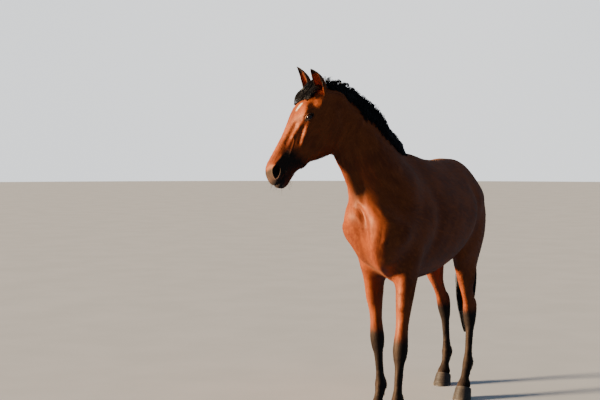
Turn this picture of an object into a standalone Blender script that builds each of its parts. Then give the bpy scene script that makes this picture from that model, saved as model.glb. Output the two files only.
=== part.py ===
"""A life-size standing horse, parted where a person would name its parts.

The horse is shaped straight and symmetrical, facing -Y with its left side towards +X and its
feet on z = 0. Its masses are lofts through named sections, joined into one body by a voxel
remesh, and muscles are then raised and hollows pressed along short lines. The finished body is
posed by turning the neck and head to its right and by setting the feet forward or back. Thin
slabs then part it, and the hooves, eyes, ears and hair are fitted to it with a small gap.
"""

import math

import bmesh
import bpy
import numpy as np
from mathutils import Matrix, Vector

# ---------------------------------------------------------------- driving dimensions, in metres
WITHERS_HEIGHT = 1.63
DRAWN_HEIGHT = 1.63  # the height at the withers for which the tables below are written
SCALE = WITHERS_HEIGHT / DRAWN_HEIGHT
GAP = 0.0004  # clearance between pieces that touch
BODY_VOXEL = 0.013
BODY_TRIANGLES = 4650
BODY_SIDES, LEG_SIDES, HOOF_SIDES = 48, 32, 18  # points round a section
TRUNK_RINGS, NECK_RINGS, HEAD_RINGS, LEG_RINGS = 60, 40, 60, 80

NECK_TURN = math.radians(42)  # the head looks this far to the horse's right
TURN_BEGINS_Y, TURN_ENDS_Y = -0.35, -0.89
STILL_BELOW, TURNS_ABOVE = 1.20, 1.52  # heights between which the breast stays where it is
AHEAD_OF_BREAST = (-0.87, -0.93)  # between these places the head turns at every height
HEAD_PITCH = math.radians(58.5)  # the nose line below the horizontal
HEAD_ORIGIN = (0.0, -1.030, 2.025)  # where the nose line reaches the level of the poll
EYE_PLACE = (0.098, 0.212, -0.050)  # across, down the face, up from the nose line
EYE_RADIUS = 0.0215

# How far each foot stands forward (-) or back (+) of its neutral place, and where that starts.
FOOT_STEP = {"fore_left": -0.25, "fore_right": 0.20, "hind_left": -0.20, "hind_right": 0.20}
STEP_TOP = 1.34
RIGID_FOOT = 0.17  # below this height a foot moves without leaning
LEFT_TO_RIGHT, FORE_TO_HIND = 0.12, 0.36  # the widths over which one leg's step gives way

# ---------------------------------------------------------------- sections
# Trunk: place along the back, top, bottom, then half-widths near the top, middle and bottom.
TRUNK = (
    (-0.860, 1.345, 1.190, 0.050, 0.070, 0.050),  # front of the breast
    (-0.805, 1.400, 1.065, 0.125, 0.158, 0.130),
    (-0.700, 1.430, 0.970, 0.145, 0.194, 0.180),  # points of the shoulders
    (-0.560, 1.500, 0.908, 0.125, 0.218, 0.212),
    (-0.420, 1.590, 0.876, 0.088, 0.228, 0.232),
    (-0.310, 1.630, 0.862, 0.082, 0.240, 0.245),  # withers
    (-0.170, 1.618, 0.856, 0.128, 0.262, 0.262),
    (0.030, 1.588, 0.858, 0.192, 0.290, 0.278),  # barrel
    (0.220, 1.580, 0.884, 0.212, 0.298, 0.276),
    (0.380, 1.588, 0.940, 0.216, 0.276, 0.248),  # loins and flanks
    (0.520, 1.590, 1.000, 0.203, 0.250, 0.240),  # croup
    (0.640, 1.560, 1.060, 0.160, 0.224, 0.228),
    (0.740, 1.500, 1.120, 0.118, 0.184, 0.186),
    (0.815, 1.425, 1.190, 0.082, 0.132, 0.122),
    (0.855, 1.365, 1.260, 0.035, 0.060, 0.045),  # under the tail
)
# Neck: crest (y, z), throat (y, z), then half-widths near the crest, middle and throat.
NECK = (
    (-0.200, 1.590, -0.700, 1.020, 0.085, 0.185, 0.175),
    (-0.345, 1.642, -0.825, 1.190, 0.062, 0.178, 0.165),
    (-0.452, 1.692, -0.842, 1.310, 0.048, 0.152, 0.150),
    (-0.572, 1.778, -0.830, 1.410, 0.040, 0.126, 0.130),
    (-0.685, 1.870, -0.848, 1.498, 0.038, 0.106, 0.112),
    (-0.785, 1.942, -0.888, 1.570, 0.040, 0.093, 0.098),
    (-0.880, 1.985, -0.908, 1.635, 0.046, 0.086, 0.088),
    (-0.950, 1.998, -0.938, 1.705, 0.050, 0.080, 0.080),
)
# Head: down the face, nose line, jaw line, then half-widths near the face, middle and jaw.
HEAD = (
    (-0.030, -0.120, -0.200, 0.030, 0.050, 0.040),  # behind the poll
    (0.005, -0.072, -0.255, 0.090, 0.082, 0.065),
    (0.060, -0.030, -0.296, 0.118, 0.093, 0.078),  # ears
    (0.115, 0.002, -0.318, 0.140, 0.099, 0.086),  # forehead
    (0.170, 0.020, -0.329, 0.160, 0.102, 0.090),
    (0.215, 0.021, -0.330, 0.156, 0.098, 0.088),  # eyes
    (0.265, 0.017, -0.322, 0.116, 0.087, 0.080),
    (0.320, 0.012, -0.298, 0.082, 0.075, 0.066),
    (0.375, 0.007, -0.260, 0.066, 0.065, 0.055),  # nose
    (0.435, 0.006, -0.214, 0.056, 0.056, 0.044),
    (0.490, 0.004, -0.181, 0.053, 0.053, 0.043),
    (0.542, 0.000, -0.167, 0.057, 0.059, 0.048),  # nostrils
    (0.582, -0.016, -0.165, 0.052, 0.058, 0.047),
    (0.610, -0.044, -0.155, 0.037, 0.047, 0.036),  # lips
    (0.626, -0.076, -0.126, 0.014, 0.022, 0.014),
)
# Legs: height, front, back, inside, outside.
FORE_LEG = (
    (1.180, -0.650, -0.360, 0.065, 0.198),
    (1.060, -0.632, -0.352, 0.058, 0.208),  # upper arm
    (0.960, -0.600, -0.352, 0.066, 0.205),  # elbow
    (0.860, -0.568, -0.385, 0.076, 0.194),  # forearm
    (0.740, -0.546, -0.425, 0.087, 0.184),
    (0.620, -0.532, -0.446, 0.096, 0.175),
    (0.560, -0.537, -0.443, 0.091, 0.179),
    (0.505, -0.541, -0.436, 0.088, 0.183),  # knee
    (0.450, -0.531, -0.446, 0.096, 0.177),
    (0.390, -0.519, -0.447, 0.107, 0.166),
    (0.290, -0.516, -0.446, 0.109, 0.164),  # cannon
    (0.245, -0.523, -0.437, 0.103, 0.170),
    (0.218, -0.530, -0.434, 0.098, 0.175),  # fetlock
    (0.180, -0.544, -0.455, 0.105, 0.168),
    (0.135, -0.568, -0.486, 0.106, 0.167),  # pastern
    (0.095, -0.600, -0.500, 0.089, 0.184),
    (0.045, -0.618, -0.505, 0.087, 0.186),  # inside the hoof
)
HIND_LEG = (
    (1.360, 0.430, 0.790, 0.050, 0.196),
    (1.220, 0.368, 0.820, 0.035, 0.243),  # thigh
    (1.100, 0.368, 0.806, 0.036, 0.250),
    (1.000, 0.395, 0.772, 0.048, 0.236),  # stifle
    (0.900, 0.445, 0.738, 0.066, 0.213),  # gaskin
    (0.800, 0.515, 0.722, 0.085, 0.192),
    (0.720, 0.582, 0.742, 0.094, 0.180),
    (0.660, 0.632, 0.800, 0.097, 0.177),
    (0.615, 0.660, 0.838, 0.094, 0.180),  # point of the hock
    (0.560, 0.688, 0.832, 0.090, 0.183),
    (0.500, 0.718, 0.820, 0.095, 0.178),
    (0.440, 0.738, 0.816, 0.106, 0.168),
    (0.320, 0.743, 0.815, 0.109, 0.165),  # cannon
    (0.255, 0.735, 0.822, 0.104, 0.170),
    (0.225, 0.726, 0.824, 0.099, 0.175),  # fetlock
    (0.185, 0.710, 0.802, 0.105, 0.169),
    (0.140, 0.686, 0.768, 0.106, 0.168),  # pastern
    (0.098, 0.655, 0.752, 0.090, 0.184),
    (0.045, 0.636, 0.748, 0.088, 0.186),  # inside the hoof
)
# Hooves: toe and heel at the ground, toe and heel at the coronet with their heights, half-width.
HOOF = {
    "fore": dict(toe=-0.662, heel=-0.514, top_toe=-0.606, top_heel=-0.494, width=0.066),
    "hind": dict(toe=0.590, heel=0.733, top_toe=0.645, top_heel=0.756, width=0.062),
}
CORONET_FRONT, CORONET_BACK = 0.092, 0.050
HOOF_TAPER = 0.17  # how much narrower the coronet is than the ground edge
LEG_X = 0.137  # the middle of a leg, across
# Tail: height and place of its middle line, half-width, half-depth.
TAIL = (
    (0.800, 1.400, 0.030, 0.030),
    (0.870, 1.412, 0.034, 0.034),
    (0.928, 1.372, 0.038, 0.036),
    (0.962, 1.280, 0.046, 0.038),
    (0.974, 1.150, 0.060, 0.044),
    (0.972, 0.960, 0.076, 0.052),
    (0.964, 0.760, 0.080, 0.054),
    (0.956, 0.570, 0.066, 0.044),
    (0.952, 0.430, 0.036, 0.024),
    (0.950, 0.370, 0.010, 0.008),
)

# ---------------------------------------------------------------- where the body is parted
NECK_CUT, NECK_CUT_FACES = (0.0, -0.39, 1.72), (0.0, -1.0, 1.0)  # from withers to breast
POLL_STRAIGHT = (0.0, -0.925, 2.030)  # before the neck is turned
POLL_CUT_RISE = 0.12
JOINT_LEVELS = {"fore": (0.580, 0.262), "hind": (0.715, 0.272)}  # knee or hock, then fetlock
# Outlines (y, z) of the space that holds a leg: square into the chest, slanting up the quarter.
# The last two columns say which way the outline moves to clear the leg.
LEG_SPACE = {
    "fore": (
        (-1.100, -0.100, 0, 0),
        (-1.100, 0.780, 0, 1),
        (-0.690, 0.925, -1, 0),
        (-0.690, 0.990, -1, 1),
        (-0.345, 0.990, 1, 1),
        (-0.345, 0.830, 1, 1),
        (-0.100, 0.790, 0, 1),
        (-0.100, -0.100, 0, 0),
    ),
    "hind": (
        (0.000, -0.100, 0, 0),
        (0.000, 0.770, 0, 1),
        (0.300, 0.850, -1, 1),
        (0.318, 1.040, -1, 1),
        (1.020, 1.400, 0, 1),
        (1.300, 1.400, 0, 1),
        (1.300, -0.100, 0, 0),
    ),
}
LEG_SPACE_INNER = {"fore": 0.062, "hind": GAP / SCALE}
LEG_SPACE_OUTER = 0.8

# ---------------------------------------------------------------- muscles and hollows
# From one point to another on the left side, how wide it reaches and how far it rises.
BODY_RELIEF = (
    # shoulder blade, its spine and the muscles on either side
    ((0.140, -0.400, 1.520), (0.195, -0.690, 1.190), 0.075, 0.014),
    ((0.110, -0.300, 1.540), (0.190, -0.470, 1.200), 0.060, 0.010),
    ((0.185, -0.380, 1.190), (0.195, -0.520, 1.060), 0.090, 0.018),  # triceps
    ((0.175, -0.730, 1.190), (0.180, -0.710, 1.150), 0.055, 0.014),  # point of the shoulder
    ((0.085, -0.840, 1.260), (0.095, -0.720, 1.040), 0.070, 0.020),  # breast
    ((0.000, -0.870, 1.330), (0.000, -0.800, 1.020), 0.022, -0.022),  # groove of the breast
    ((0.165, -0.640, 1.440), (0.200, -0.730, 1.290), 0.045, -0.009),  # neck meets shoulder
    ((0.240, -0.260, 1.400), (0.240, -0.310, 1.020), 0.055, -0.010),  # behind the shoulder
    ((0.060, -0.660, 1.000), (0.040, -0.500, 0.900), 0.060, 0.010),  # between the forelegs
    # barrel, flank and quarters
    ((0.265, -0.060, 1.180), (0.275, 0.180, 1.150), 0.190, 0.008),
    ((0.250, 0.400, 1.400), (0.262, 0.400, 1.200), 0.060, -0.018),  # hollow of the flank
    ((0.230, 0.360, 1.485), (0.245, 0.410, 1.465), 0.045, 0.014),  # point of the hip
    ((0.150, 0.560, 1.520), (0.170, 0.680, 1.370), 0.100, 0.008),  # quarter
    ((0.225, 0.560, 1.230), (0.230, 0.500, 1.060), 0.110, 0.014),  # thigh
    ((0.140, 0.815, 1.300), (0.150, 0.780, 1.100), 0.060, 0.012),  # point of the buttock
    ((0.205, 0.690, 1.250), (0.210, 0.680, 1.020), 0.030, -0.008),  # line behind the thigh
    ((0.000, 0.480, 1.620), (0.000, 0.740, 1.540), 0.035, -0.008),  # line of the croup
    ((0.195, 0.395, 1.000), (0.170, 0.420, 0.960), 0.055, 0.012),  # stifle
    # neck
    ((0.095, -0.880, 1.800), (0.165, -0.690, 1.340), 0.028, -0.007),  # jugular groove
    ((0.080, -0.820, 1.910), (0.130, -0.450, 1.580), 0.090, 0.008),
    ((0.080, -0.900, 1.850), (0.098, -0.860, 1.740), 0.036, -0.010),  # behind the jaw
)
LEG_RELIEF = (
    ((0.184, -0.585, 0.930), (0.158, -0.550, 0.760), 0.050, 0.010),  # forearm
    ((0.137, -0.360, 0.960), (0.137, -0.385, 0.900), 0.040, 0.010),  # elbow
    ((0.137, -0.430, 0.525), (0.137, -0.432, 0.515), 0.022, 0.010),  # back of the knee
    ((0.172, -0.478, 0.430), (0.172, -0.478, 0.260), 0.014, -0.005),
    ((0.102, -0.478, 0.430), (0.102, -0.478, 0.260), 0.014, -0.005),
    ((0.194, 0.560, 0.900), (0.178, 0.620, 0.780), 0.045, 0.010),  # gaskin
    ((0.178, 0.700, 0.760), (0.175, 0.770, 0.660), 0.026, -0.010),  # before the great tendon
    ((0.096, 0.700, 0.760), (0.099, 0.770, 0.660), 0.026, -0.010),
    ((0.137, 0.838, 0.630), (0.137, 0.836, 0.600), 0.022, 0.008),  # point of the hock
    ((0.173, 0.782, 0.430), (0.173, 0.782, 0.270), 0.014, -0.005),
    ((0.101, 0.782, 0.430), (0.101, 0.782, 0.270), 0.014, -0.005),
)
# On the head the points are across, down the face and up from the nose line.
HEAD_RELIEF = (
    ((0.085, 0.120, -0.190), (0.080, 0.200, -0.200), 0.070, 0.010),  # cheek
    ((0.092, 0.172, -0.012), (0.100, 0.210, -0.018), 0.024, 0.013),  # brow
    ((0.086, 0.130, -0.035), (0.088, 0.140, -0.040), 0.024, -0.010),  # hollow over the eye
    ((0.092, 0.270, -0.095), (0.066, 0.370, -0.100), 0.016, 0.008),  # ridge of the cheek
    ((0.070, 0.300, -0.150), (0.055, 0.420, -0.130), 0.040, -0.008),  # below it
    ((0.060, 0.300, -0.045), (0.048, 0.420, -0.045), 0.030, -0.005),  # beside the nose
    ((0.048, 0.535, -0.030), (0.052, 0.575, -0.060), 0.022, 0.010),  # nostril
    ((0.000, 0.535, -0.150), (0.000, 0.575, -0.150), 0.034, 0.006),  # chin
    ((0.000, 0.200, -0.320), (0.000, 0.400, -0.220), 0.035, -0.022),  # between the jaws
    ((0.040, 0.612, -0.102), (0.058, 0.555, -0.106), 0.008, -0.006),  # line of the mouth
    ((0.000, 0.628, -0.102), (0.040, 0.612, -0.102), 0.008, -0.006),
    ((0.056, 0.030, -0.050), (0.060, 0.050, -0.045), 0.036, 0.012),  # root of the ear
)


# ---------------------------------------------------------------- scene
def clear_scene():
    for obj in list(bpy.data.objects):
        bpy.data.objects.remove(obj, do_unlink=True)


def new_collection(name):
    collection = bpy.data.collections.new(name)
    bpy.context.scene.collection.children.link(collection)
    return collection


clear_scene()
HORSE = new_collection("horse")
GUIDES = new_collection("guides")


def material(name, colour, roughness):
    made = bpy.data.materials.new(name)
    made.use_nodes = True
    shader = made.node_tree.nodes["Principled BSDF"]
    shader.inputs["Base Color"].default_value = (*colour, 1.0)
    shader.inputs["Roughness"].default_value = roughness
    made.diffuse_color = (*colour, 1.0)
    return made


COAT = material("bay_coat", (0.26, 0.085, 0.03), 0.45)
POINTS = material("black_points", (0.018, 0.014, 0.013), 0.5)
HAIR = material("black_hair", (0.012, 0.010, 0.010), 0.4)
HORN = material("hoof_horn", (0.05, 0.042, 0.036), 0.5)
EYE = material("dark_eye", (0.02, 0.010, 0.006), 0.08)


# ---------------------------------------------------------------- sections to solids
def curve_through(knots, values, at):
    """A cubic through the rows of values that never bulges past two neighbours."""
    knots = np.asarray(knots, float)
    values = np.asarray(values, float)
    run = np.diff(knots)[:, None]
    slope = np.diff(values, axis=0) / run
    before, after = slope[:-1], slope[1:]
    same_way = before * after > 0
    mean = np.zeros_like(before)
    mean[same_way] = 2 * (before * after)[same_way] / (before + after)[same_way]
    tangent = np.vstack([slope[:1], mean, slope[-1:]])
    at = np.clip(at, knots[0], knots[-1])
    i = np.clip(np.searchsorted(knots, at, side="right") - 1, 0, len(knots) - 2)
    t = ((at - knots[i]) / run[i, 0])[:, None]
    return (
        values[i] * (1 + 2 * t) * (1 - t) ** 2
        + tangent[i] * run[i] * t * (1 - t) ** 2
        + values[i + 1] * t * t * (3 - 2 * t)
        + tangent[i + 1] * run[i] * t * t * (t - 1)
    )


def sections(table, count):
    """Rows between those of the table, evenly spaced by how far the section's ends travel."""
    table = np.asarray(table, float) * SCALE
    steps = np.linalg.norm(np.diff(table[:, :4], axis=0), axis=1)
    knots = np.concatenate([[0], np.cumsum(steps)])
    return curve_through(knots, table, np.linspace(0, knots[-1], count))


def smooth_step(t):
    t = np.clip(t, 0, 1)
    return t * t * (3 - 2 * t)


def ring(first, last, side, widths, count):
    """A closed section from first to last and back, as wide to either side as widths say."""
    angle = np.linspace(0, 2 * math.pi, count, endpoint=False)
    depth = (1 - np.cos(angle)) / 2
    near, middle, far = widths
    width = np.where(
        depth < 0.5,
        near + (middle - near) * smooth_step(2 * depth),
        middle + (far - middle) * smooth_step(2 * depth - 1),
    )
    first, last, side = (np.asarray(v, float) for v in (first, last, side))
    return first + np.outer(depth, last - first) + np.outer(np.sin(angle) * width, side)


def loft(rings):
    """(points, faces) of the closed body through the rings."""
    count, sides = len(rings), len(rings[0])
    points = np.vstack(rings)
    here = np.arange(sides)
    after = (here + 1) % sides
    faces = [tuple(reversed(range(sides)))]
    for k in range(count - 1):
        low, high = k * sides, (k + 1) * sides
        faces += list(zip(low + here, low + after, high + after, high + here))
    faces.append(tuple(range((count - 1) * sides, count * sides)))
    return points, faces


def mesh_from(name, *bodies):
    """One mesh of several closed bodies, each facing out."""
    build = bmesh.new()
    for points, faces in bodies:
        corners = [build.verts.new(p) for p in points]
        for face in faces:
            build.faces.new([corners[i] for i in face])
    bmesh.ops.recalc_face_normals(build, faces=build.faces)
    bmesh.ops.triangulate(build, faces=[f for f in build.faces if len(f.verts) > 4])
    made = bpy.data.meshes.new(name)
    build.to_mesh(made)
    build.free()
    return made


def add_object(name, mesh, finish, collection=None):
    made = bpy.data.objects.new(name, mesh)
    (collection or HORSE).objects.link(made)
    mesh.materials.clear()
    mesh.materials.append(finish)
    return made


def evaluated(obj):
    """A plain mesh of the object with its modifiers applied. The object is removed."""
    bpy.context.view_layer.update()
    graph = bpy.context.evaluated_depsgraph_get()
    made = bpy.data.meshes.new_from_object(obj.evaluated_get(graph))
    bpy.data.objects.remove(obj, do_unlink=True)
    return made


def read_points(mesh):
    points = np.empty(len(mesh.vertices) * 3)
    mesh.vertices.foreach_get("co", points)
    return points.reshape(-1, 3)


def read_normals(mesh):
    normals = np.empty(len(mesh.vertices) * 3)
    mesh.vertex_normals.foreach_get("vector", normals)
    return normals.reshape(-1, 3)


def write_points(mesh, points):
    mesh.vertices.foreach_set("co", np.asarray(points, np.float32).ravel())
    mesh.update()


# ---------------------------------------------------------------- the straight body
X_AXIS = np.array([1.0, 0.0, 0.0])
FACE_DOWN = np.array([0.0, -math.cos(HEAD_PITCH), -math.sin(HEAD_PITCH)])
FACE_UP = np.array([0.0, -math.sin(HEAD_PITCH), math.cos(HEAD_PITCH)])


def on_head(across, down, up):
    """A point given on the straight head: across, down the face and up from the nose line."""
    across, down, up = (np.asarray(v, float) * SCALE for v in (across, down, up))
    origin = np.array(HEAD_ORIGIN) * SCALE
    return (
        origin + across[..., None] * X_AXIS + down[..., None] * FACE_DOWN + up[..., None] * FACE_UP
    )


def trunk_loft():
    rings = [
        ring((0, y, top), (0, y, bottom), X_AXIS, widths, BODY_SIDES)
        for y, top, bottom, *widths in sections(TRUNK, TRUNK_RINGS)
    ]
    return loft(rings)


def neck_loft():
    rings = [
        ring((0, crest_y, crest_z), (0, throat_y, throat_z), X_AXIS, widths, BODY_SIDES)
        for crest_y, crest_z, throat_y, throat_z, *widths in sections(NECK, NECK_RINGS)
    ]
    return loft(rings)


def head_loft():
    rings = [
        ring(
            on_head(0, down / SCALE, face / SCALE),
            on_head(0, down / SCALE, jaw / SCALE),
            X_AXIS,
            widths,
            BODY_SIDES,
        )
        for down, face, jaw, *widths in sections(HEAD, HEAD_RINGS)
    ]
    return loft(rings)


LEG_FULLNESS = (0.92, 1.0, 0.92)  # of a leg's width, near its front, middle and back


def leg_loft(table, side):
    """side is 1 for a left leg and -1 for a right one."""
    rings = []
    for height, front, back, inside, outside in sections(table, LEG_RINGS):
        middle, width = side * (inside + outside) / 2, (outside - inside) / 2
        widths = np.array(LEG_FULLNESS) * width
        ends = ((middle, front, height), (middle, back, height))
        rings.append(ring(*ends, X_AXIS, widths, LEG_SIDES))
    return loft(rings)


def on_left(points):
    """The points with those of the right side mirrored to the left."""
    return np.abs(points[:, :1]) * [[1, 0, 0]] + points * [[0, 1, 1]]


def raised(points, normals, relief):
    """The points moved out or in near the lines of the relief, which stand for both sides."""
    mirrored = on_left(points) / SCALE
    rise = np.zeros(len(points))
    for start, end, reach, height in relief:
        start, end = np.array(start), np.array(end)
        along = end - start
        t = np.clip((mirrored - start) @ along / (along @ along), 0, 1)
        away = np.linalg.norm(mirrored - start - t[:, None] * along, axis=1)
        rise += height * np.exp(-((away / reach) ** 2))
    return points + normals * rise[:, None] * SCALE


def relaxed(mesh, points, weights, rounds):
    """Points drawn towards the middle of their neighbours, as much as their weight says."""
    edges = np.empty(len(mesh.edges) * 2, int)
    mesh.edges.foreach_get("vertices", edges)
    a, b = edges.reshape(-1, 2).T
    neighbours = np.bincount(a, minlength=len(points)) + np.bincount(b, minlength=len(points))
    for _ in range(rounds):
        mean = np.empty_like(points)
        for axis in range(3):
            total = np.bincount(a, points[b, axis], len(points))
            total += np.bincount(b, points[a, axis], len(points))
            mean[:, axis] = total / neighbours
        points = points + weights[:, None] * (mean - points)
    return points


EVENLY, EVEN_ROUNDS = 0.5, 3  # the whole surface is drawn smooth this much, this many times
# Where two masses meet, the seam is smoothed within this reach of these points (left side),
# this many times.
SEAMS = (
    ((0.130, -0.480, 0.960), 0.20, 26),  # foreleg and chest
    ((0.130, 0.560, 1.100), 0.26, 30),  # thigh and belly
    ((0.100, -0.600, 1.450), 0.30, 30),  # neck and shoulder
    ((0.060, -0.860, 1.800), 0.17, 24),  # head and neck
    ((0.000, 0.820, 1.400), 0.14, 20),  # under the tail
)
SEAM_FADE = 1.6  # full smoothing is reached this soon inside the reach


def straight_body():
    lofts = [trunk_loft(), neck_loft(), head_loft()]
    lofts += [leg_loft(table, side) for table in (FORE_LEG, HIND_LEG) for side in (1, -1)]
    joined = add_object("joined_masses", mesh_from("joined_masses", *lofts), COAT)
    remesh = joined.modifiers.new("one_body", "REMESH")
    remesh.mode = "VOXEL"
    remesh.voxel_size = BODY_VOXEL * SCALE
    mesh = evaluated(joined)
    points = read_points(mesh)
    points = relaxed(mesh, points, np.full(len(points), EVENLY), EVEN_ROUNDS)
    for place, reach, rounds in SEAMS:
        away = np.linalg.norm(on_left(points) / SCALE - place, axis=1) / reach
        points = relaxed(mesh, points, EVENLY * smooth_step(SEAM_FADE * (1 - away)), rounds)
    write_points(mesh, points)
    return mesh


def head_lines():
    """The relief of the head as lines in space."""
    return [
        (on_head(*start) / SCALE, on_head(*end) / SCALE, reach, height)
        for start, end, reach, height in HEAD_RELIEF
    ]


# ---------------------------------------------------------------- the pose
def turn_of(y):
    begins, ends = TURN_BEGINS_Y * SCALE, TURN_ENDS_Y * SCALE
    return NECK_TURN * smooth_step((y - begins) / (ends - begins))


def turned(points):
    """The neck and head turned to the horse's right, its middle line keeping its length."""
    reach = np.linspace(0, 1.6 * SCALE, 321)
    start = TURN_BEGINS_Y * SCALE
    angle = turn_of(start - reach)
    step = reach[1] - reach[0]
    line_x = -np.concatenate([[0], np.cumsum(np.sin((angle[1:] + angle[:-1]) / 2))]) * step
    line_y = start - np.concatenate([[0], np.cumsum(np.cos((angle[1:] + angle[:-1]) / 2))]) * step
    x, y, z = points.T
    along = np.clip(start - y, 0, None)
    heading = turn_of(np.minimum(y, start))
    moved_x = np.interp(along, reach, line_x) + x * np.cos(heading)
    moved_y = np.where(y < start, np.interp(along, reach, line_y), y) - x * np.sin(heading)
    over_breast = smooth_step((z / SCALE - STILL_BELOW) / (TURNS_ABOVE - STILL_BELOW))
    breast, face = AHEAD_OF_BREAST
    ahead = smooth_step((y / SCALE - breast) / (face - breast))
    share = np.maximum(over_breast, ahead)
    return np.column_stack([x + (moved_x - x) * share, y + (moved_y - y) * share, z])


def stepped(points):
    """The feet set forward or back, each leg leaning from its top."""
    x, y, z = (points / SCALE).T
    shift = np.zeros(len(points))
    for leg, step in FOOT_STEP.items():
        pair, side = leg.split("_")
        own_side = smooth_step(0.5 + (x if side == "left" else -x) / LEFT_TO_RIGHT)
        own_end = smooth_step(0.5 + (y if pair == "hind" else -y) / FORE_TO_HIND)
        below = np.clip((STEP_TOP - z) / (STEP_TOP - RIGID_FOOT), 0, 1)
        shift += step * own_side * own_end * below
    return points + np.outer(shift * SCALE, (0, 1, 0))


def posed(points):
    return stepped(turned(np.atleast_2d(points)))


# The plane that parts the head from the neck lies behind the poll and faces ahead.
POLL = posed(np.array(POLL_STRAIGHT) * SCALE)[0] / SCALE
HEAD_AHEAD = np.array([-math.sin(NECK_TURN), -math.cos(NECK_TURN), POLL_CUT_RISE])
# How much coarser than its finest the mesh gets: on barrel and neck, less on head and legs.
COARSE_BODY, HEAD_FINER, LEGS_FINER, COARSE_SHARE = 1.0, 0.12, 0.18, 0.5
WEIGHT_LEVELS = 8


def decimated(mesh, triangles):
    """The mesh with about this many triangles, coarser on the barrel than on head and legs."""
    body = add_object("dense_body", mesh, COAT)
    points = read_points(mesh) / SCALE
    on_the_head = smooth_step(((points - POLL) @ HEAD_AHEAD + 0.04) / 0.08)
    on_the_head *= smooth_step((points[:, 2] - 1.36) / 0.08)
    on_a_leg = 1 - smooth_step((points[:, 2] - 0.60) / 0.30)
    coarse = (COARSE_BODY - HEAD_FINER * on_the_head) * (1 - LEGS_FINER * on_a_leg)
    group = body.vertex_groups.new(name="coarse")
    for level in range(1, WEIGHT_LEVELS + 1):
        chosen = np.flatnonzero(np.round(coarse * WEIGHT_LEVELS) == level)
        group.add(chosen.tolist(), level / WEIGHT_LEVELS, "REPLACE")
    reduce = body.modifiers.new("fewer_faces", "DECIMATE")
    reduce.vertex_group = "coarse"
    reduce.vertex_group_factor = COARSE_SHARE
    reduce.ratio = triangles / sum(len(p.vertices) - 2 for p in mesh.polygons)
    return evaluated(body)


# ---------------------------------------------------------------- cutting and fitting
def largest_body(build):
    """The vertices of the largest connected body."""
    unseen = set(build.verts)
    largest = set()
    while unseen:
        front = [unseen.pop()]
        island = set(front)
        while front:
            for edge in front.pop().link_edges:
                for vertex in edge.verts:
                    if vertex in unseen:
                        unseen.discard(vertex)
                        island.add(vertex)
                        front.append(vertex)
        if len(island) > len(largest):
            largest = island
    return largest


MERGE_DISTANCES = (0.0002, 0.00005, 0.00001, 0.0)  # tried in turn until the body is closed
CLEARANCES = (1.5, 1.65, 1.8, 2.0, 2.2, 2.5)  # in gaps, tried in turn in the same way


def tidied(mesh):
    """The largest closed body of the mesh, without specks or needles left by a cut."""
    for nearest in MERGE_DISTANCES:
        build = bmesh.new()
        build.from_mesh(mesh)
        if nearest:
            bmesh.ops.remove_doubles(build, verts=build.verts, dist=nearest)
            bmesh.ops.dissolve_degenerate(build, edges=build.edges, dist=nearest)
        kept = largest_body(build)
        bmesh.ops.delete(build, geom=[v for v in build.verts if v not in kept], context="VERTS")
        bmesh.ops.triangulate(build, faces=build.faces)
        closed = all(edge.is_manifold for edge in build.edges)
        if closed or not nearest:
            build.to_mesh(mesh)
            build.free()
            return mesh
        build.free()


def boolean(mesh, tool_mesh, operation):
    body = add_object("being_cut", mesh.copy(), COAT)
    tool = add_object("cutter", tool_mesh, COAT, GUIDES)
    tool.hide_render = True
    tool.display_type = "WIRE"
    change = body.modifiers.new("cut", "BOOLEAN")
    change.operation = operation
    change.solver = "EXACT"
    change.object = tool
    made = evaluated(body)
    bpy.data.objects.remove(tool, do_unlink=True)
    return tidied(made)


def grown(mesh, distance):
    """A copy of the mesh with its surface moved out by the distance."""
    made = mesh.copy()
    write_points(made, read_points(made) + read_normals(made) * distance)
    return made


def is_closed(mesh):
    build = bmesh.new()
    build.from_mesh(mesh)
    closed = all(edge.is_manifold for edge in build.edges)
    build.free()
    return closed


def fitted(mesh, *neighbours):
    """The piece cut back from its neighbours, by the first clearance that cuts it cleanly."""
    for neighbour in neighbours:
        for clearance in CLEARANCES:
            cut = boolean(mesh, grown(neighbour, GAP * clearance), "DIFFERENCE")
            if is_closed(cut):
                break
        mesh = cut
    return mesh


def half_space(place, facing):
    """A large box that lies on the side of the place to which facing points."""
    build = bmesh.new()
    size = 4.0 * SCALE
    bmesh.ops.create_cube(build, size=size)
    rise = Matrix.Translation((0, 0, size / 2 + GAP / 2))
    turn = Vector(facing).to_track_quat("Z", "Y").to_matrix().to_4x4()
    build.transform(Matrix.Translation(Vector(place)) @ turn @ rise)
    made = bpy.data.meshes.new("half_space")
    build.to_mesh(made)
    build.free()
    return made


def split(mesh, place, facing):
    """The part of the mesh ahead of a plane and the part behind it."""
    facing = np.asarray(facing, float)
    ahead = boolean(mesh, half_space(place, facing), "INTERSECT")
    behind = boolean(mesh, half_space(place, -facing), "INTERSECT")
    return ahead, behind


def prism(profile, x_from, x_to):
    """A solid between two values of x with this outline of (y, z) points."""
    profile = np.asarray(profile) * SCALE
    rings = [np.column_stack([np.full(len(profile), x), profile]) for x in (x_from, x_to)]
    return mesh_from("region", loft(rings))


def leg_space(pair, side, grow):
    """The space that holds one leg, made larger all round by grow."""
    table = np.array(LEG_SPACE[pair])
    profile = table[:, :2] + table[:, 2:] * (grow / SCALE)
    inner = LEG_SPACE_INNER[pair] * SCALE - grow
    return prism(profile, side * inner, side * LEG_SPACE_OUTER * SCALE)


# ---------------------------------------------------------------- fitted pieces
HOOF_FULLNESS = (0.96, 1.0, 0.80)  # of a hoof's width, near its toe, middle and heel
HOOF_RINGS = 4


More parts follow.
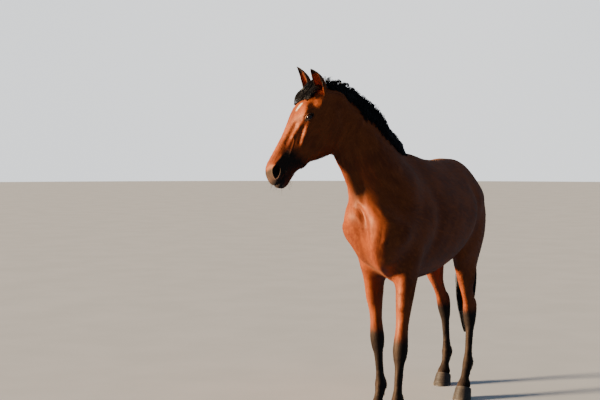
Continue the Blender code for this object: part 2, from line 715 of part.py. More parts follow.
def hoof(pair, side):
    """A hoof on the ground, sloping like its pastern, a gap below the coronet."""
    size = HOOF[pair]
    step = FOOT_STEP[pair + ("_left" if side > 0 else "_right")]
    rings = []
    for u in np.linspace(0, 1, HOOF_RINGS):
        toe = size["toe"] + (size["top_toe"] - size["toe"]) * u + step
        heel = size["heel"] + (size["top_heel"] - size["heel"]) * u + step
        width = size["width"] * (1 - HOOF_TAPER * u)
        front = (side * LEG_X, toe, CORONET_FRONT * u)
        back = (side * LEG_X, heel, CORONET_BACK * u)
        widths = np.array(HOOF_FULLNESS) * width
        ends = np.array([front, back]) * SCALE
        rings.append(ring(ends[0], ends[1], X_AXIS, widths * SCALE, HOOF_SIDES))
    rings[-1][:, 2] -= GAP
    return mesh_from("hoof", loft(rings))


def coronet_plane(pair, side):
    size = HOOF[pair]
    step = FOOT_STEP[pair + ("_left" if side > 0 else "_right")]
    place = np.array([side * LEG_X, size["top_toe"] + step, CORONET_FRONT]) * SCALE
    rise = (CORONET_FRONT - CORONET_BACK) / (size["top_heel"] - size["top_toe"])
    return place, (0.0, rise, 1.0)


def eyeball(side, radius):
    build = bmesh.new()
    bmesh.ops.create_uvsphere(build, u_segments=12, v_segments=8, radius=radius * SCALE)
    across, down, up = EYE_PLACE
    centre = posed(on_head(side * across, down, up))[0]
    facing = Matrix.Rotation(side * math.pi / 2, 4, "Y")
    build.transform(Matrix.Translation(Vector(centre)) @ facing)
    made = bpy.data.meshes.new("eyeball")
    build.to_mesh(made)
    build.free()
    return made


EAR_LENGTH = {1: 0.172, -1: 0.184}
EAR_ROOT = {1: (0.062, 0.052, -0.074), -1: (0.060, 0.070, -0.046)}  # on the head
# Outward, forward and up from root to tip: the left ear is pricked, the right is upright.
EAR_LEAN = {1: (0.13, -0.51, 0.87), -1: (0.22, -0.31, 0.93)}
EAR_OPENS = {1: (0.45, -0.88, -0.10), -1: (-0.10, -0.99, -0.10)}
EAR_THICKNESS = 0.007
EAR_RINGS, EAR_POINTS = 9, 7  # rings along the ear, points over each face of a ring
# Along the ear: half-width, how far round the shell reaches in degrees, curve towards the front.
EAR_SECTIONS = (
    (0.00, 0.024, 150, 0.000),
    (0.15, 0.027, 135, -0.004),
    (0.35, 0.033, 112, -0.007),
    (0.55, 0.032, 98, -0.006),
    (0.75, 0.025, 88, -0.001),
    (0.90, 0.015, 80, 0.005),
    (1.00, 0.0055, 70, 0.009),
)


def ear(side):
    """A cupped leaf, thickest at its root."""
    mirror = np.array([side, 1, 1])
    root = on_head(*EAR_ROOT[side]) * mirror
    along = np.array(EAR_LEAN[side]) / np.linalg.norm(EAR_LEAN[side]) * mirror
    opens = np.array(EAR_OPENS[side]) * mirror
    opens = opens - along * (opens @ along)
    opens /= np.linalg.norm(opens)
    across = np.cross(along, opens)
    table = np.array(EAR_SECTIONS)
    rings = []
    for u, radius, reach, forward in curve_through(table[:, 0], table, np.linspace(0, 1, EAR_RINGS)):
        angle = np.radians(np.linspace(-reach, reach, EAR_POINTS))
        shell = np.outer(-np.cos(angle), opens) + np.outer(np.sin(angle), across)
        centre = root + along * (EAR_LENGTH[side] * u * SCALE) + opens * (forward * SCALE)
        inner = max(radius - EAR_THICKNESS * (1.15 - 0.45 * u), radius * 0.25)
        outside = centre + shell * (radius * SCALE)
        inside = centre + opens * (0.001 * SCALE) + shell[::-1] * (inner * SCALE)
        rings.append(np.vstack([outside, inside]))
    points, faces = loft(rings)
    return mesh_from("ear", (posed(points), faces))


# How high the mane stands over the crest at shares of its length from the withers to the poll.
MANE_HEIGHTS = (
    (0.00, 0.018),
    (0.13, 0.040),
    (0.22, 0.052),
    (0.34, 0.045),
    (0.42, 0.044),
    (0.52, 0.070),
    (0.60, 0.072),
    (0.68, 0.066),
    (0.78, 0.041),
    (0.87, 0.050),
    (0.95, 0.036),
    (1.00, 0.026),
)
MANE_THICK = 0.020  # off the side of the neck
MANE_FALL = {1: 0.095, -1: 0.190}  # how far it hangs on the left and on the right side
MANE_SECTIONS, MANE_SKIPPED = 27, 3  # sections of the neck, and those before the mane begins
MANE_POINTS = 5  # over each side of a section
MANE_ROOT, MANE_EDGE = -0.022, -0.008  # its inner face, and its lower edge, under the skin
MANE_ENDS, MANE_POLL_END = 0.28, 0.10  # shares of its length over which it grows to full size


def mane():
    """A crescent of hair over the crest, from the withers to the poll, in soft clumps."""
    table = sections(NECK, MANE_SECTIONS)[MANE_SKIPPED:]
    heights = np.array(MANE_HEIGHTS)
    rings = []
    for along, row in zip(np.linspace(0, 1, len(table)), table):
        crest = np.array([0, row[0], row[1]])
        throat = np.array([0, row[2], row[3]])
        length = np.linalg.norm(throat - crest)
        ends = smooth_step(along / MANE_ENDS)
        poll_end = smooth_step((1 - along) / MANE_POLL_END)
        stands = curve_through(heights[:, 0], heights[:, 1:], [along])[0, 0] * SCALE
        thick = (0.012 + MANE_THICK * ends) * SCALE
        outer, inner = [], []
        for side in (1, -1):
            fall = MANE_FALL[side] * (0.34 + 0.66 * ends) * (0.60 + 0.40 * poll_end)
            fall *= (0.90 + 0.10 * math.cos(along * 27 + side)) * SCALE
            end_angle = math.acos(1 - 2 * min(fall / length, 0.95))
            angle = end_angle * np.linspace(0, 1, MANE_POINTS) ** 0.8
            depth = (1 - np.cos(angle)) / 2
            near, middle, far = row[4:7]
            width = np.where(
                depth < 0.5,
                near + (middle - near) * smooth_step(2 * depth),
                middle + (far - middle) * smooth_step(2 * depth - 1),
            )
            skin = crest + np.outer(depth, throat - crest)
            skin = skin + np.outer(np.sin(angle) * width * side, X_AXIS)
            run = np.gradient(skin, axis=0)
            upward = np.cross(run, np.cross(throat - crest, X_AXIS)) * -side
            upward /= np.linalg.norm(upward, axis=1)[:, None]
            upward[0] = (crest - throat) / length
            share = angle / end_angle
            rise = stands + (thick - stands) * smooth_step(share / 0.45)
            rise = rise + (MANE_EDGE * SCALE - rise) * smooth_step((share - 0.62) / 0.38)
            outer.append(skin + upward * rise[:, None])
            inner.append((skin + upward * (MANE_ROOT * SCALE))[::2])
        outline = np.vstack([outer[0][::-1], outer[1][1:], inner[1][::-1], inner[0][1:]])
        rings.append(outline)
    points, faces = loft(rings)
    return mesh_from("mane", (posed(points), faces))


# Forelock: across, down the face, up from the nose line, half-width, half-thickness.
FORELOCK = (
    (0.000, -0.030, -0.050, 0.018, 0.022),
    (-0.004, 0.000, -0.022, 0.026, 0.030),
    (-0.012, 0.040, -0.002, 0.034, 0.032),
    (-0.024, 0.080, 0.010, 0.046, 0.028),
    (-0.038, 0.115, 0.014, 0.048, 0.022),
    (-0.050, 0.142, 0.012, 0.036, 0.016),
    (-0.058, 0.162, 0.010, 0.014, 0.008),
)
FORELOCK_RINGS, FORELOCK_SIDES = 11, 10
TAIL_RINGS, TAIL_SIDES = 17, 12


def swept(path, half_width, half_depth, side_way, count):
    """A body of oval sections square to its path."""
    ahead = np.gradient(path, axis=0)
    ahead /= np.linalg.norm(ahead, axis=1)[:, None]
    rings = []
    for place, way, width, depth in zip(path, ahead, half_width, half_depth):
        side = side_way - way * (side_way @ way)
        side /= np.linalg.norm(side)
        up = np.cross(side, way)
        rings.append(ring(place + up * depth, place - up * depth, side, [width] * 3, count))
    return loft(rings)


def forelock():
    table = np.array(FORELOCK)
    rows = curve_through(np.arange(len(table)), table, np.linspace(0, len(table) - 1, FORELOCK_RINGS))
    path = on_head(rows[:, 0], rows[:, 1], rows[:, 2])
    points, faces = swept(path, rows[:, 3] * SCALE, rows[:, 4] * SCALE, X_AXIS, FORELOCK_SIDES)
    return mesh_from("forelock", (posed(points), faces))


def tail():
    table = np.array(TAIL)
    travel = np.linalg.norm(np.diff(table[:, :2], axis=0), axis=1)
    knots = np.concatenate([[0], np.cumsum(travel)])
    rows = curve_through(knots, table, np.linspace(0, knots[-1], TAIL_RINGS)) * SCALE
    path = np.column_stack([np.zeros(len(rows)), rows[:, 0], rows[:, 1]])
    points, faces = swept(path, rows[:, 2], rows[:, 3], X_AXIS, TAIL_SIDES)
    return mesh_from("tail", (points, faces))


# ---------------------------------------------------------------- the horse
def dense_body():
    """The body posed, before it is parted."""
    mesh = straight_body()
    points = read_points(mesh)
    for relief in (BODY_RELIEF, LEG_RELIEF, head_lines()):
        points = raised(points, read_normals(mesh), relief)
        write_points(mesh, points)
    write_points(mesh, posed(points))
    return mesh


def build_horse():
    body = tidied(decimated(dense_body(), BODY_TRIANGLES))
    nodes = []

    def node(name, mesh, finish):
        mesh.name = name
        nodes.append(add_object(name, mesh, finish))

    # neck and head leave the trunk on a slant from the withers to the breast
    forequarter, rest = split(body, np.array(NECK_CUT) * SCALE, NECK_CUT_FACES)
    head, neck = split(forequarter, POLL * SCALE, HEAD_AHEAD)
    for side, word in ((1, "left"), (-1, "right")):
        head = boolean(head, eyeball(side, EYE_RADIUS + GAP / SCALE), "DIFFERENCE")
        node("eye_" + word, eyeball(side, EYE_RADIUS), EYE)
    node("head", head, COAT)
    node("neck", neck, COAT)

    # each leg leaves the trunk, then is parted at its joints
    trunk = rest
    for pair, levels in JOINT_LEVELS.items():
        upper_name = {"fore": "forearm", "hind": "thigh"}[pair]
        for side, word in ((1, "left"), (-1, "right")):
            leg = boolean(rest, leg_space(pair, side, 0.0), "INTERSECT")
            trunk = boolean(trunk, leg_space(pair, side, GAP), "DIFFERENCE")
            upper, lower = split(leg, (0, 0, levels[0] * SCALE), (0, 0, 1))
            shank, foot = split(lower, (0, 0, levels[1] * SCALE), (0, 0, 1))
            pastern, _ = split(foot, *coronet_plane(pair, side))
            node(f"{upper_name}_{word}", upper, COAT)
            node(f"{pair}_shank_{word}", shank, POINTS)
            node(f"{pair}_pastern_{word}", pastern, POINTS)
            node(f"{pair}_hoof_{word}", hoof(pair, side), HORN)
    node("trunk", trunk, COAT)

    # ears and hair are fitted to the body's surface
    ears = [fitted(ear(side), body) for side in (1, -1)]
    crest_hair = fitted(mane(), body, *ears)
    node("ear_left", ears[0], COAT)
    node("ear_right", ears[1], COAT)
    node("mane", crest_hair, HAIR)
    node("forelock", fitted(forelock(), body, *ears, crest_hair), HAIR)
    node("tail", fitted(tail(), body), HAIR)
    return nodes


def centred(nodes):
    """The middle of the horse's box moved to x = y = 0, with its feet left on z = 0."""
    points = np.vstack([read_points(made.data) for made in nodes])
    middle = (points.min(axis=0) + points.max(axis=0)) / 2
    for made in nodes:
        write_points(made.data, read_points(made.data) - [middle[0], middle[1], 0])
        made.data.shade_smooth()


centred(build_horse())
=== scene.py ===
import math

import bmesh
import bpy
import numpy as np
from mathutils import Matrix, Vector


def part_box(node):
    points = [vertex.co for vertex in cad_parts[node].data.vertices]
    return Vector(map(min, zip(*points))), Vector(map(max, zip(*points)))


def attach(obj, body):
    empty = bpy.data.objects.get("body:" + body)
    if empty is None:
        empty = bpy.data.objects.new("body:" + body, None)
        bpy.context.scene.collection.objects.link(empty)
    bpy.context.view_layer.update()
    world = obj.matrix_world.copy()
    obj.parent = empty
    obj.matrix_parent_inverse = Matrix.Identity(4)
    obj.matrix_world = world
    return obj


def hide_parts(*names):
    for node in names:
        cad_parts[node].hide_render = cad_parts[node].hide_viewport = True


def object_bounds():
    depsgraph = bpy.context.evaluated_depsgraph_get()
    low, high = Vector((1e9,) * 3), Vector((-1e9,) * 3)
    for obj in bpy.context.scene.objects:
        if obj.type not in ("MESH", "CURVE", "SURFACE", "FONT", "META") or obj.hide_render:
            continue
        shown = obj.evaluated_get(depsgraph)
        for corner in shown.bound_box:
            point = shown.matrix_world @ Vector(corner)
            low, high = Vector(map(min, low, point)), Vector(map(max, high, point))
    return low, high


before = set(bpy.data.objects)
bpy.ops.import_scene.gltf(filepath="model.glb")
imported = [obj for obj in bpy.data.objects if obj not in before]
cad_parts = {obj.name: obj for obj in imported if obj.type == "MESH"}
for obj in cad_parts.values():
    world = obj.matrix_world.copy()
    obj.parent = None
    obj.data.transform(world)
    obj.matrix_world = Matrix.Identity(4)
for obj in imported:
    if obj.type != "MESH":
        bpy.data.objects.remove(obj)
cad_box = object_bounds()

# ------------------------------------------------------------------ the skin
# A bay riding horse's hide lies in one unbroken piece over muscle and bone, from the lips to the
# coronets, and folds into lids, nostrils and ears. It is joined from its masses, as the solids
# are, drawn smooth, made finer towards head and feet, and then shaped and set in the pose.
BODY_VOXEL = 0.0143
COAT_DEPTH = 0.0026
NECK_TURN = math.radians(42)
TURN_BEGINS_Y, TURN_ENDS_Y = -0.35, -0.89
STILL_BELOW, TURNS_ABOVE = 1.20, 1.52
AHEAD_OF_BREAST = (-0.87, -0.93)
HEAD_PITCH = math.radians(58.5)
HEAD_ORIGIN = np.array([0.0, -1.030, 2.025])
EYE_PLACE = np.array([0.098, 0.212, -0.050])
EYE_RADIUS = 0.0215
FOOT_STEP = {"fore_left": -0.25, "fore_right": 0.20, "hind_left": -0.20, "hind_right": 0.20}
STEP_TOP, RIGID_FOOT = 1.34, 0.17
LEFT_TO_RIGHT, FORE_TO_HIND = 0.12, 0.36
LEG_X = 0.137
# Trunk: place along the back, top, bottom, then half-widths near the top, middle and bottom.
TRUNK = (
    (-0.860, 1.345, 1.190, 0.050, 0.070, 0.050),  # front of the breast
    (-0.805, 1.400, 1.065, 0.125, 0.158, 0.130),
    (-0.700, 1.430, 0.970, 0.145, 0.194, 0.180),  # points of the shoulders
    (-0.560, 1.500, 0.908, 0.125, 0.218, 0.212),
    (-0.420, 1.590, 0.876, 0.088, 0.228, 0.232),
    (-0.310, 1.630, 0.862, 0.082, 0.240, 0.245),  # withers
    (-0.170, 1.618, 0.856, 0.128, 0.262, 0.262),
    (0.030, 1.588, 0.858, 0.192, 0.290, 0.278),  # barrel
    (0.220, 1.580, 0.884, 0.212, 0.298, 0.276),
    (0.380, 1.588, 0.940, 0.216, 0.276, 0.248),  # loins and flanks
    (0.520, 1.590, 1.000, 0.203, 0.250, 0.240),  # croup
    (0.640, 1.560, 1.060, 0.160, 0.224, 0.228),
    (0.740, 1.500, 1.120, 0.118, 0.184, 0.186),
    (0.815, 1.425, 1.190, 0.082, 0.132, 0.122),
    (0.855, 1.365, 1.260, 0.035, 0.060, 0.045),  # under the tail
)
# Neck: crest (y, z), throat (y, z), then half-widths near the crest, middle and throat.
NECK = (
    (-0.200, 1.590, -0.700, 1.020, 0.085, 0.185, 0.175),
    (-0.345, 1.642, -0.825, 1.190, 0.062, 0.178, 0.165),
    (-0.452, 1.692, -0.842, 1.310, 0.048, 0.152, 0.150),
    (-0.572, 1.778, -0.830, 1.410, 0.040, 0.126, 0.130),
    (-0.685, 1.870, -0.848, 1.498, 0.038, 0.106, 0.112),
    (-0.785, 1.942, -0.888, 1.570, 0.040, 0.093, 0.098),
    (-0.880, 1.985, -0.908, 1.635, 0.046, 0.086, 0.088),
    (-0.950, 1.998, -0.938, 1.705, 0.050, 0.080, 0.080),
)
# Head: down the face, nose line, jaw line, then half-widths near the face, middle and jaw.
HEAD = (
    (-0.030, -0.120, -0.200, 0.030, 0.050, 0.040),  # behind the poll
    (0.005, -0.072, -0.255, 0.090, 0.082, 0.065),
    (0.060, -0.030, -0.296, 0.118, 0.093, 0.078),  # ears
    (0.115, 0.002, -0.318, 0.140, 0.099, 0.086),  # forehead
    (0.170, 0.020, -0.329, 0.160, 0.102, 0.090),
    (0.215, 0.021, -0.330, 0.156, 0.098, 0.088),  # eyes
    (0.265, 0.017, -0.322, 0.116, 0.087, 0.080),
    (0.320, 0.012, -0.298, 0.082, 0.075, 0.066),
    (0.375, 0.007, -0.260, 0.066, 0.065, 0.055),  # nose
    (0.435, 0.006, -0.214, 0.056, 0.056, 0.044),
    (0.490, 0.004, -0.181, 0.053, 0.053, 0.043),
    (0.542, 0.000, -0.167, 0.057, 0.059, 0.048),  # nostrils
    (0.582, -0.016, -0.165, 0.052, 0.058, 0.047),
    (0.610, -0.044, -0.155, 0.037, 0.047, 0.036),  # lips
    (0.626, -0.076, -0.126, 0.014, 0.022, 0.014),
)
LEG_FULLNESS = np.array([0.92, 1.0, 0.92])
# Legs: height, front, back, inside, outside.
FORE_LEG = (
    (1.180, -0.650, -0.360, 0.065, 0.198),
    (1.060, -0.632, -0.352, 0.058, 0.208),  # upper arm
    (0.960, -0.600, -0.352, 0.066, 0.205),  # elbow
    (0.860, -0.568, -0.385, 0.076, 0.194),  # forearm
    (0.740, -0.546, -0.425, 0.087, 0.184),
    (0.620, -0.532, -0.446, 0.096, 0.175),
    (0.560, -0.537, -0.443, 0.091, 0.179),
    (0.505, -0.541, -0.436, 0.088, 0.183),  # knee
    (0.450, -0.531, -0.446, 0.096, 0.177),
    (0.390, -0.519, -0.447, 0.107, 0.166),
    (0.290, -0.516, -0.446, 0.109, 0.164),  # cannon
    (0.245, -0.523, -0.437, 0.103, 0.170),
    (0.218, -0.530, -0.434, 0.098, 0.175),  # fetlock
    (0.180, -0.544, -0.455, 0.105, 0.168),
    (0.135, -0.568, -0.486, 0.106, 0.167),  # pastern
    (0.095, -0.600, -0.500, 0.089, 0.184),
    (0.045, -0.618, -0.505, 0.087, 0.186),  # inside the hoof
)
HIND_LEG = (
    (1.360, 0.430, 0.790, 0.050, 0.196),
    (1.220, 0.368, 0.820, 0.035, 0.243),  # thigh
    (1.100, 0.368, 0.806, 0.036, 0.250),
    (1.000, 0.395, 0.772, 0.048, 0.236),  # stifle
    (0.900, 0.445, 0.738, 0.066, 0.213),  # gaskin
    (0.800, 0.515, 0.722, 0.085, 0.192),
    (0.720, 0.582, 0.742, 0.094, 0.180),
    (0.660, 0.632, 0.800, 0.097, 0.177),
    (0.615, 0.660, 0.838, 0.094, 0.180),  # point of the hock
    (0.560, 0.688, 0.832, 0.090, 0.183),
    (0.500, 0.718, 0.820, 0.095, 0.178),
    (0.440, 0.738, 0.816, 0.106, 0.168),
    (0.320, 0.743, 0.815, 0.109, 0.165),  # cannon
    (0.255, 0.735, 0.822, 0.104, 0.170),
    (0.225, 0.726, 0.824, 0.099, 0.175),  # fetlock
    (0.185, 0.710, 0.802, 0.105, 0.169),
    (0.140, 0.686, 0.768, 0.106, 0.168),  # pastern
    (0.098, 0.655, 0.752, 0.090, 0.184),
    (0.045, 0.636, 0.748, 0.088, 0.186),  # inside the hoof
)
# From one point to another on the left side, how wide it reaches and how far it rises.
BODY_RELIEF = (
    # shoulder blade, its spine and the muscles on either side
    ((0.140, -0.400, 1.520), (0.195, -0.690, 1.190), 0.075, 0.014),
    ((0.110, -0.300, 1.540), (0.190, -0.470, 1.200), 0.060, 0.010),
    ((0.185, -0.380, 1.190), (0.195, -0.520, 1.060), 0.090, 0.018),  # triceps
    ((0.175, -0.730, 1.190), (0.180, -0.710, 1.150), 0.055, 0.014),  # point of the shoulder
    ((0.085, -0.840, 1.260), (0.095, -0.720, 1.040), 0.070, 0.020),  # breast
    ((0.000, -0.870, 1.330), (0.000, -0.800, 1.020), 0.022, -0.022),  # groove of the breast
    ((0.165, -0.640, 1.440), (0.200, -0.730, 1.290), 0.045, -0.009),  # neck meets shoulder
    ((0.240, -0.260, 1.400), (0.240, -0.310, 1.020), 0.055, -0.010),  # behind the shoulder
    ((0.060, -0.660, 1.000), (0.040, -0.500, 0.900), 0.060, 0.010),  # between the forelegs
    # barrel, flank and quarters
    ((0.265, -0.060, 1.180), (0.275, 0.180, 1.150), 0.190, 0.008),
    ((0.250, 0.400, 1.400), (0.262, 0.400, 1.200), 0.060, -0.018),  # hollow of the flank
    ((0.230, 0.360, 1.485), (0.245, 0.410, 1.465), 0.045, 0.014),  # point of the hip
    ((0.150, 0.560, 1.520), (0.170, 0.680, 1.370), 0.100, 0.008),  # quarter
    ((0.225, 0.560, 1.230), (0.230, 0.500, 1.060), 0.110, 0.014),  # thigh
    ((0.140, 0.815, 1.300), (0.150, 0.780, 1.100), 0.060, 0.012),  # point of the buttock
    ((0.205, 0.690, 1.250), (0.210, 0.680, 1.020), 0.030, -0.008),  # line behind the thigh
    ((0.000, 0.480, 1.620), (0.000, 0.740, 1.540), 0.035, -0.008),  # line of the croup
    ((0.195, 0.395, 1.000), (0.170, 0.420, 0.960), 0.055, 0.012),  # stifle
    # neck
    ((0.095, -0.880, 1.800), (0.165, -0.690, 1.340), 0.028, -0.007),  # jugular groove
    ((0.080, -0.820, 1.910), (0.130, -0.450, 1.580), 0.090, 0.008),
    ((0.080, -0.900, 1.850), (0.098, -0.860, 1.740), 0.036, -0.010),  # behind the jaw
)
LEG_RELIEF = (
    ((0.184, -0.585, 0.930), (0.158, -0.550, 0.760), 0.050, 0.010),  # forearm
    ((0.137, -0.360, 0.960), (0.137, -0.385, 0.900), 0.040, 0.010),  # elbow
    ((0.137, -0.430, 0.525), (0.137, -0.432, 0.515), 0.022, 0.010),  # back of the knee
    ((0.172, -0.478, 0.430), (0.172, -0.478, 0.260), 0.014, -0.005),
    ((0.102, -0.478, 0.430), (0.102, -0.478, 0.260), 0.014, -0.005),
    ((0.194, 0.560, 0.900), (0.178, 0.620, 0.780), 0.045, 0.010),  # gaskin
    ((0.178, 0.700, 0.760), (0.175, 0.770, 0.660), 0.026, -0.010),  # before the great tendon
    ((0.096, 0.700, 0.760), (0.099, 0.770, 0.660), 0.026, -0.010),
    ((0.137, 0.838, 0.630), (0.137, 0.836, 0.600), 0.022, 0.008),  # point of the hock
    ((0.173, 0.782, 0.430), (0.173, 0.782, 0.270), 0.014, -0.005),
    ((0.101, 0.782, 0.430), (0.101, 0.782, 0.270), 0.014, -0.005),
)
# On the head the points are across, down the face and up from the nose line.
HEAD_RELIEF = (
    ((0.085, 0.120, -0.190), (0.080, 0.200, -0.200), 0.070, 0.010),  # cheek
    ((0.092, 0.172, -0.012), (0.100, 0.210, -0.018), 0.024, 0.013),  # brow
    ((0.086, 0.130, -0.035), (0.088, 0.140, -0.040), 0.024, -0.010),  # hollow over the eye
    ((0.092, 0.260, -0.080), (0.068, 0.360, -0.104), 0.024, 0.0025),  # ridge of the cheek
    ((0.070, 0.300, -0.150), (0.055, 0.420, -0.130), 0.040, -0.008),  # below it
    ((0.060, 0.300, -0.045), (0.048, 0.420, -0.045), 0.030, -0.005),  # beside the nose
    ((0.048, 0.535, -0.030), (0.052, 0.575, -0.060), 0.022, 0.010),  # nostril
    ((0.000, 0.535, -0.150), (0.000, 0.575, -0.150), 0.034, 0.006),  # chin
    ((0.000, 0.200, -0.320), (0.000, 0.400, -0.220), 0.035, -0.022),  # between the jaws
    ((0.040, 0.612, -0.102), (0.058, 0.555, -0.106), 0.008, -0.006),  # line of the mouth
    ((0.000, 0.628, -0.102), (0.040, 0.612, -0.102), 0.008, -0.006),
    ((0.056, 0.030, -0.050), (0.060, 0.050, -0.045), 0.036, 0.012),  # root of the ear
)


def curve_through(knots, values, at):
    """A cubic through the rows of values that never bulges past two neighbours."""
    knots = np.asarray(knots, float)
    values = np.asarray(values, float)
    run = np.diff(knots)[:, None]
    slope = np.diff(values, axis=0) / run
    before, after = slope[:-1], slope[1:]
    same_way = before * after > 0
    mean = np.zeros_like(before)
    mean[same_way] = 2 * (before * after)[same_way] / (before + after)[same_way]
    tangent = np.vstack([slope[:1], mean, slope[-1:]])
    at = np.clip(at, knots[0], knots[-1])
    i = np.clip(np.searchsorted(knots, at, side="right") - 1, 0, len(knots) - 2)
    t = ((at - knots[i]) / run[i, 0])[:, None]
    return (
        values[i] * (1 + 2 * t) * (1 - t) ** 2
        + tangent[i] * run[i] * t * (1 - t) ** 2
        + values[i + 1] * t * t * (3 - 2 * t)
        + tangent[i + 1] * run[i] * t * t * (t - 1)
    )


def sections(table, count):
    """Rows between those of the table, evenly spaced by how far the section's ends travel."""
    table = np.asarray(table, float)
    steps = np.linalg.norm(np.diff(table[:, :4], axis=0), axis=1)
    knots = np.concatenate([[0], np.cumsum(steps)])
    return curve_through(knots, table, np.linspace(0, knots[-1], count))


def smooth_step(t):
    """0 below 0 and 1 above 1, with a smooth run between them."""
    t = np.clip(t, 0, 1)
    return t * t * (3 - 2 * t)


def width_at(depth, widths):
    """How wide a section is at depths from 0 to 1, from its near, middle and far half-widths."""
    near, middle, far = widths
    return np.where(
        depth < 0.5,
        near + (middle - near) * smooth_step(2 * depth),
        middle + (far - middle) * smooth_step(2 * depth - 1),
    )


def ring(first, last, side, widths, count):
    """A closed section from first to last and back, as wide to either side as widths say."""
    angle = np.linspace(0, 2 * math.pi, count, endpoint=False)
    depth = (1 - np.cos(angle)) / 2
    width = width_at(depth, widths)
    first, last, side = (np.asarray(v, float) for v in (first, last, side))
    return first + np.outer(depth, last - first) + np.outer(np.sin(angle) * width, side)


def loft(rings):
    """(points, faces) of the closed body through the rings."""
    count, sides = len(rings), len(rings[0])
    points = np.vstack(rings)
    here = np.arange(sides)
    after = (here + 1) % sides
    faces = [tuple(reversed(range(sides)))]
    for k in range(count - 1):
        low, high = k * sides, (k + 1) * sides
        faces += list(zip(low + here, low + after, high + after, high + here))
    faces.append(tuple(range((count - 1) * sides, count * sides)))
    return points, faces


# Where two masses meet: a place in the seam, how far from it the skin is drawn smooth, and the
# number of rounds.
SEAMS = (
    ((0.130, -0.480, 0.960), 0.20, 26),  # foreleg and chest
    ((0.130, 0.560, 1.100), 0.26, 30),  # thigh and belly
    ((0.100, -0.600, 1.450), 0.30, 30),  # neck and shoulder
    ((0.060, -0.860, 1.800), 0.17, 24),  # head and neck
    ((0.000, 0.820, 1.400), 0.14, 20),  # under the tail
    ((0.000, -0.860, 1.270), 0.15, 26),  # front of the breast
)
X_AXIS = np.array([1.0, 0.0, 0.0])
FACE_DOWN = np.array([0.0, -math.cos(HEAD_PITCH), -math.sin(HEAD_PITCH)])
FACE_UP = np.array([0.0, -math.sin(HEAD_PITCH), math.cos(HEAD_PITCH)])
HEAD_AXES = np.array([X_AXIS, FACE_DOWN, FACE_UP])


def on_head(places):
    """Points given across the head, down the face and up from the nose line."""
    return HEAD_ORIGIN + np.asarray(places, float) @ HEAD_AXES


def to_head(points):
    """The same the other way: across, down and up for points in space."""
    return (points - HEAD_ORIGIN) @ HEAD_AXES.T


def on_left(points):
    """The points with those of the right side mirrored to the left."""
    return points * [0, 1, 1] + np.abs(points[:, :1]) * [1, 0, 0]


def on_left_face(points):
    """Points in space as places on the head, with the right side mirrored to the left."""
    return on_left(to_head(points))


def for_both_sides(shape_left):
    """The same shaping of the left side of the face, for points in space on either side."""

    def shape_both(points):
        on_face = to_head(points)
        side = np.where(on_face[:, 0] < 0, -1.0, 1.0)
        on_face[:, 0] *= side
        on_face = shape_left(on_face)
        on_face[:, 0] *= side
        return on_head(on_face)

    return shape_both


def square_axes(first, second):
    """Unit vectors along the first, along the second made square to it, and across both."""
    first = np.array(first) / np.linalg.norm(first)
    second = np.array(second) - first * (np.array(second) @ first)
    second /= np.linalg.norm(second)
    return first, second, np.cross(first, second)


def unit(vectors):
    """The vectors, along the last axis, brought to a length of 1."""
    return vectors / np.maximum(np.linalg.norm(vectors, axis=-1, keepdims=True), 1e-9)


def mesh_of(name, points, faces):
    """A mesh with smooth faces, which may have any number of corners."""
    made = bpy.data.meshes.new(name)
    made.from_pydata(np.asarray(points).tolist(), [], [tuple(map(int, f)) for f in faces])
    made.shade_smooth()
    return made


def joined_lofts(name, lofts):
    """One mesh of several closed lofts, each facing out."""
    build = bmesh.new()
    for points, faces in lofts:
        corners = [build.verts.new(p) for p in points]
        for face in faces:
            build.faces.new([corners[i] for i in face])
    bmesh.ops.recalc_face_normals(build, faces=build.faces)
    made = bpy.data.meshes.new(name)
    build.to_mesh(made)
    build.free()
    return made


def with_modifier(mesh, kind, **settings):
    """The mesh as one modifier leaves it."""
    holder = bpy.data.objects.new("being_made", mesh)
    bpy.context.scene.collection.objects.link(holder)
    change = holder.modifiers.new("change", kind)
    for setting, value in settings.items():
        setattr(change, setting, value)
    bpy.context.view_layer.update()
    graph = bpy.context.evaluated_depsgraph_get()
    made = bpy.data.meshes.new_from_object(holder.evaluated_get(graph))
    bpy.data.objects.remove(holder, do_unlink=True)
    return made


def read_points(mesh):
    points = np.empty(len(mesh.vertices) * 3)
    mesh.vertices.foreach_get("co", points)
    return points.reshape(-1, 3)


def read_normals(mesh):
    normals = np.empty(len(mesh.vertices) * 3)
    mesh.vertex_normals.foreach_get("vector", normals)
    return normals.reshape(-1, 3)


def write_points(mesh, points):
    mesh.vertices.foreach_set("co", np.asarray(points, np.float32).ravel())
    mesh.update()


def keep_values(mesh, **kept):
    """Numbers or vectors kept under their names at the points of the mesh."""
    for name, values in kept.items():
        kind, slot = ("FLOAT", "value") if np.ndim(values) == 1 else ("FLOAT_VECTOR", "vector")
        layer = mesh.attributes.new(name, kind, "POINT")
        layer.data.foreach_set(slot, np.asarray(values, np.float32).ravel())


def relaxed(mesh, points, weights, rounds):
    """Points drawn towards the middle of their neighbours, as much as their weight says."""
    edges = np.empty(len(mesh.edges) * 2, int)
    mesh.edges.foreach_get("vertices", edges)
    a, b = edges.reshape(-1, 2).T
    near = (weights[a] > 0) | (weights[b] > 0)
    a, b = a[near], b[near]
    neighbours = np.bincount(a, minlength=len(points)) + np.bincount(b, minlength=len(points))
    moved = neighbours > 0
    for _ in range(rounds):
        mean = points.copy()
        for axis in range(3):
            total = np.bincount(a, points[b, axis], len(points))
            total += np.bincount(b, points[a, axis], len(points))
            mean[moved, axis] = total[moved] / neighbours[moved]
        points = points + weights[:, None] * (mean - points)
    return points


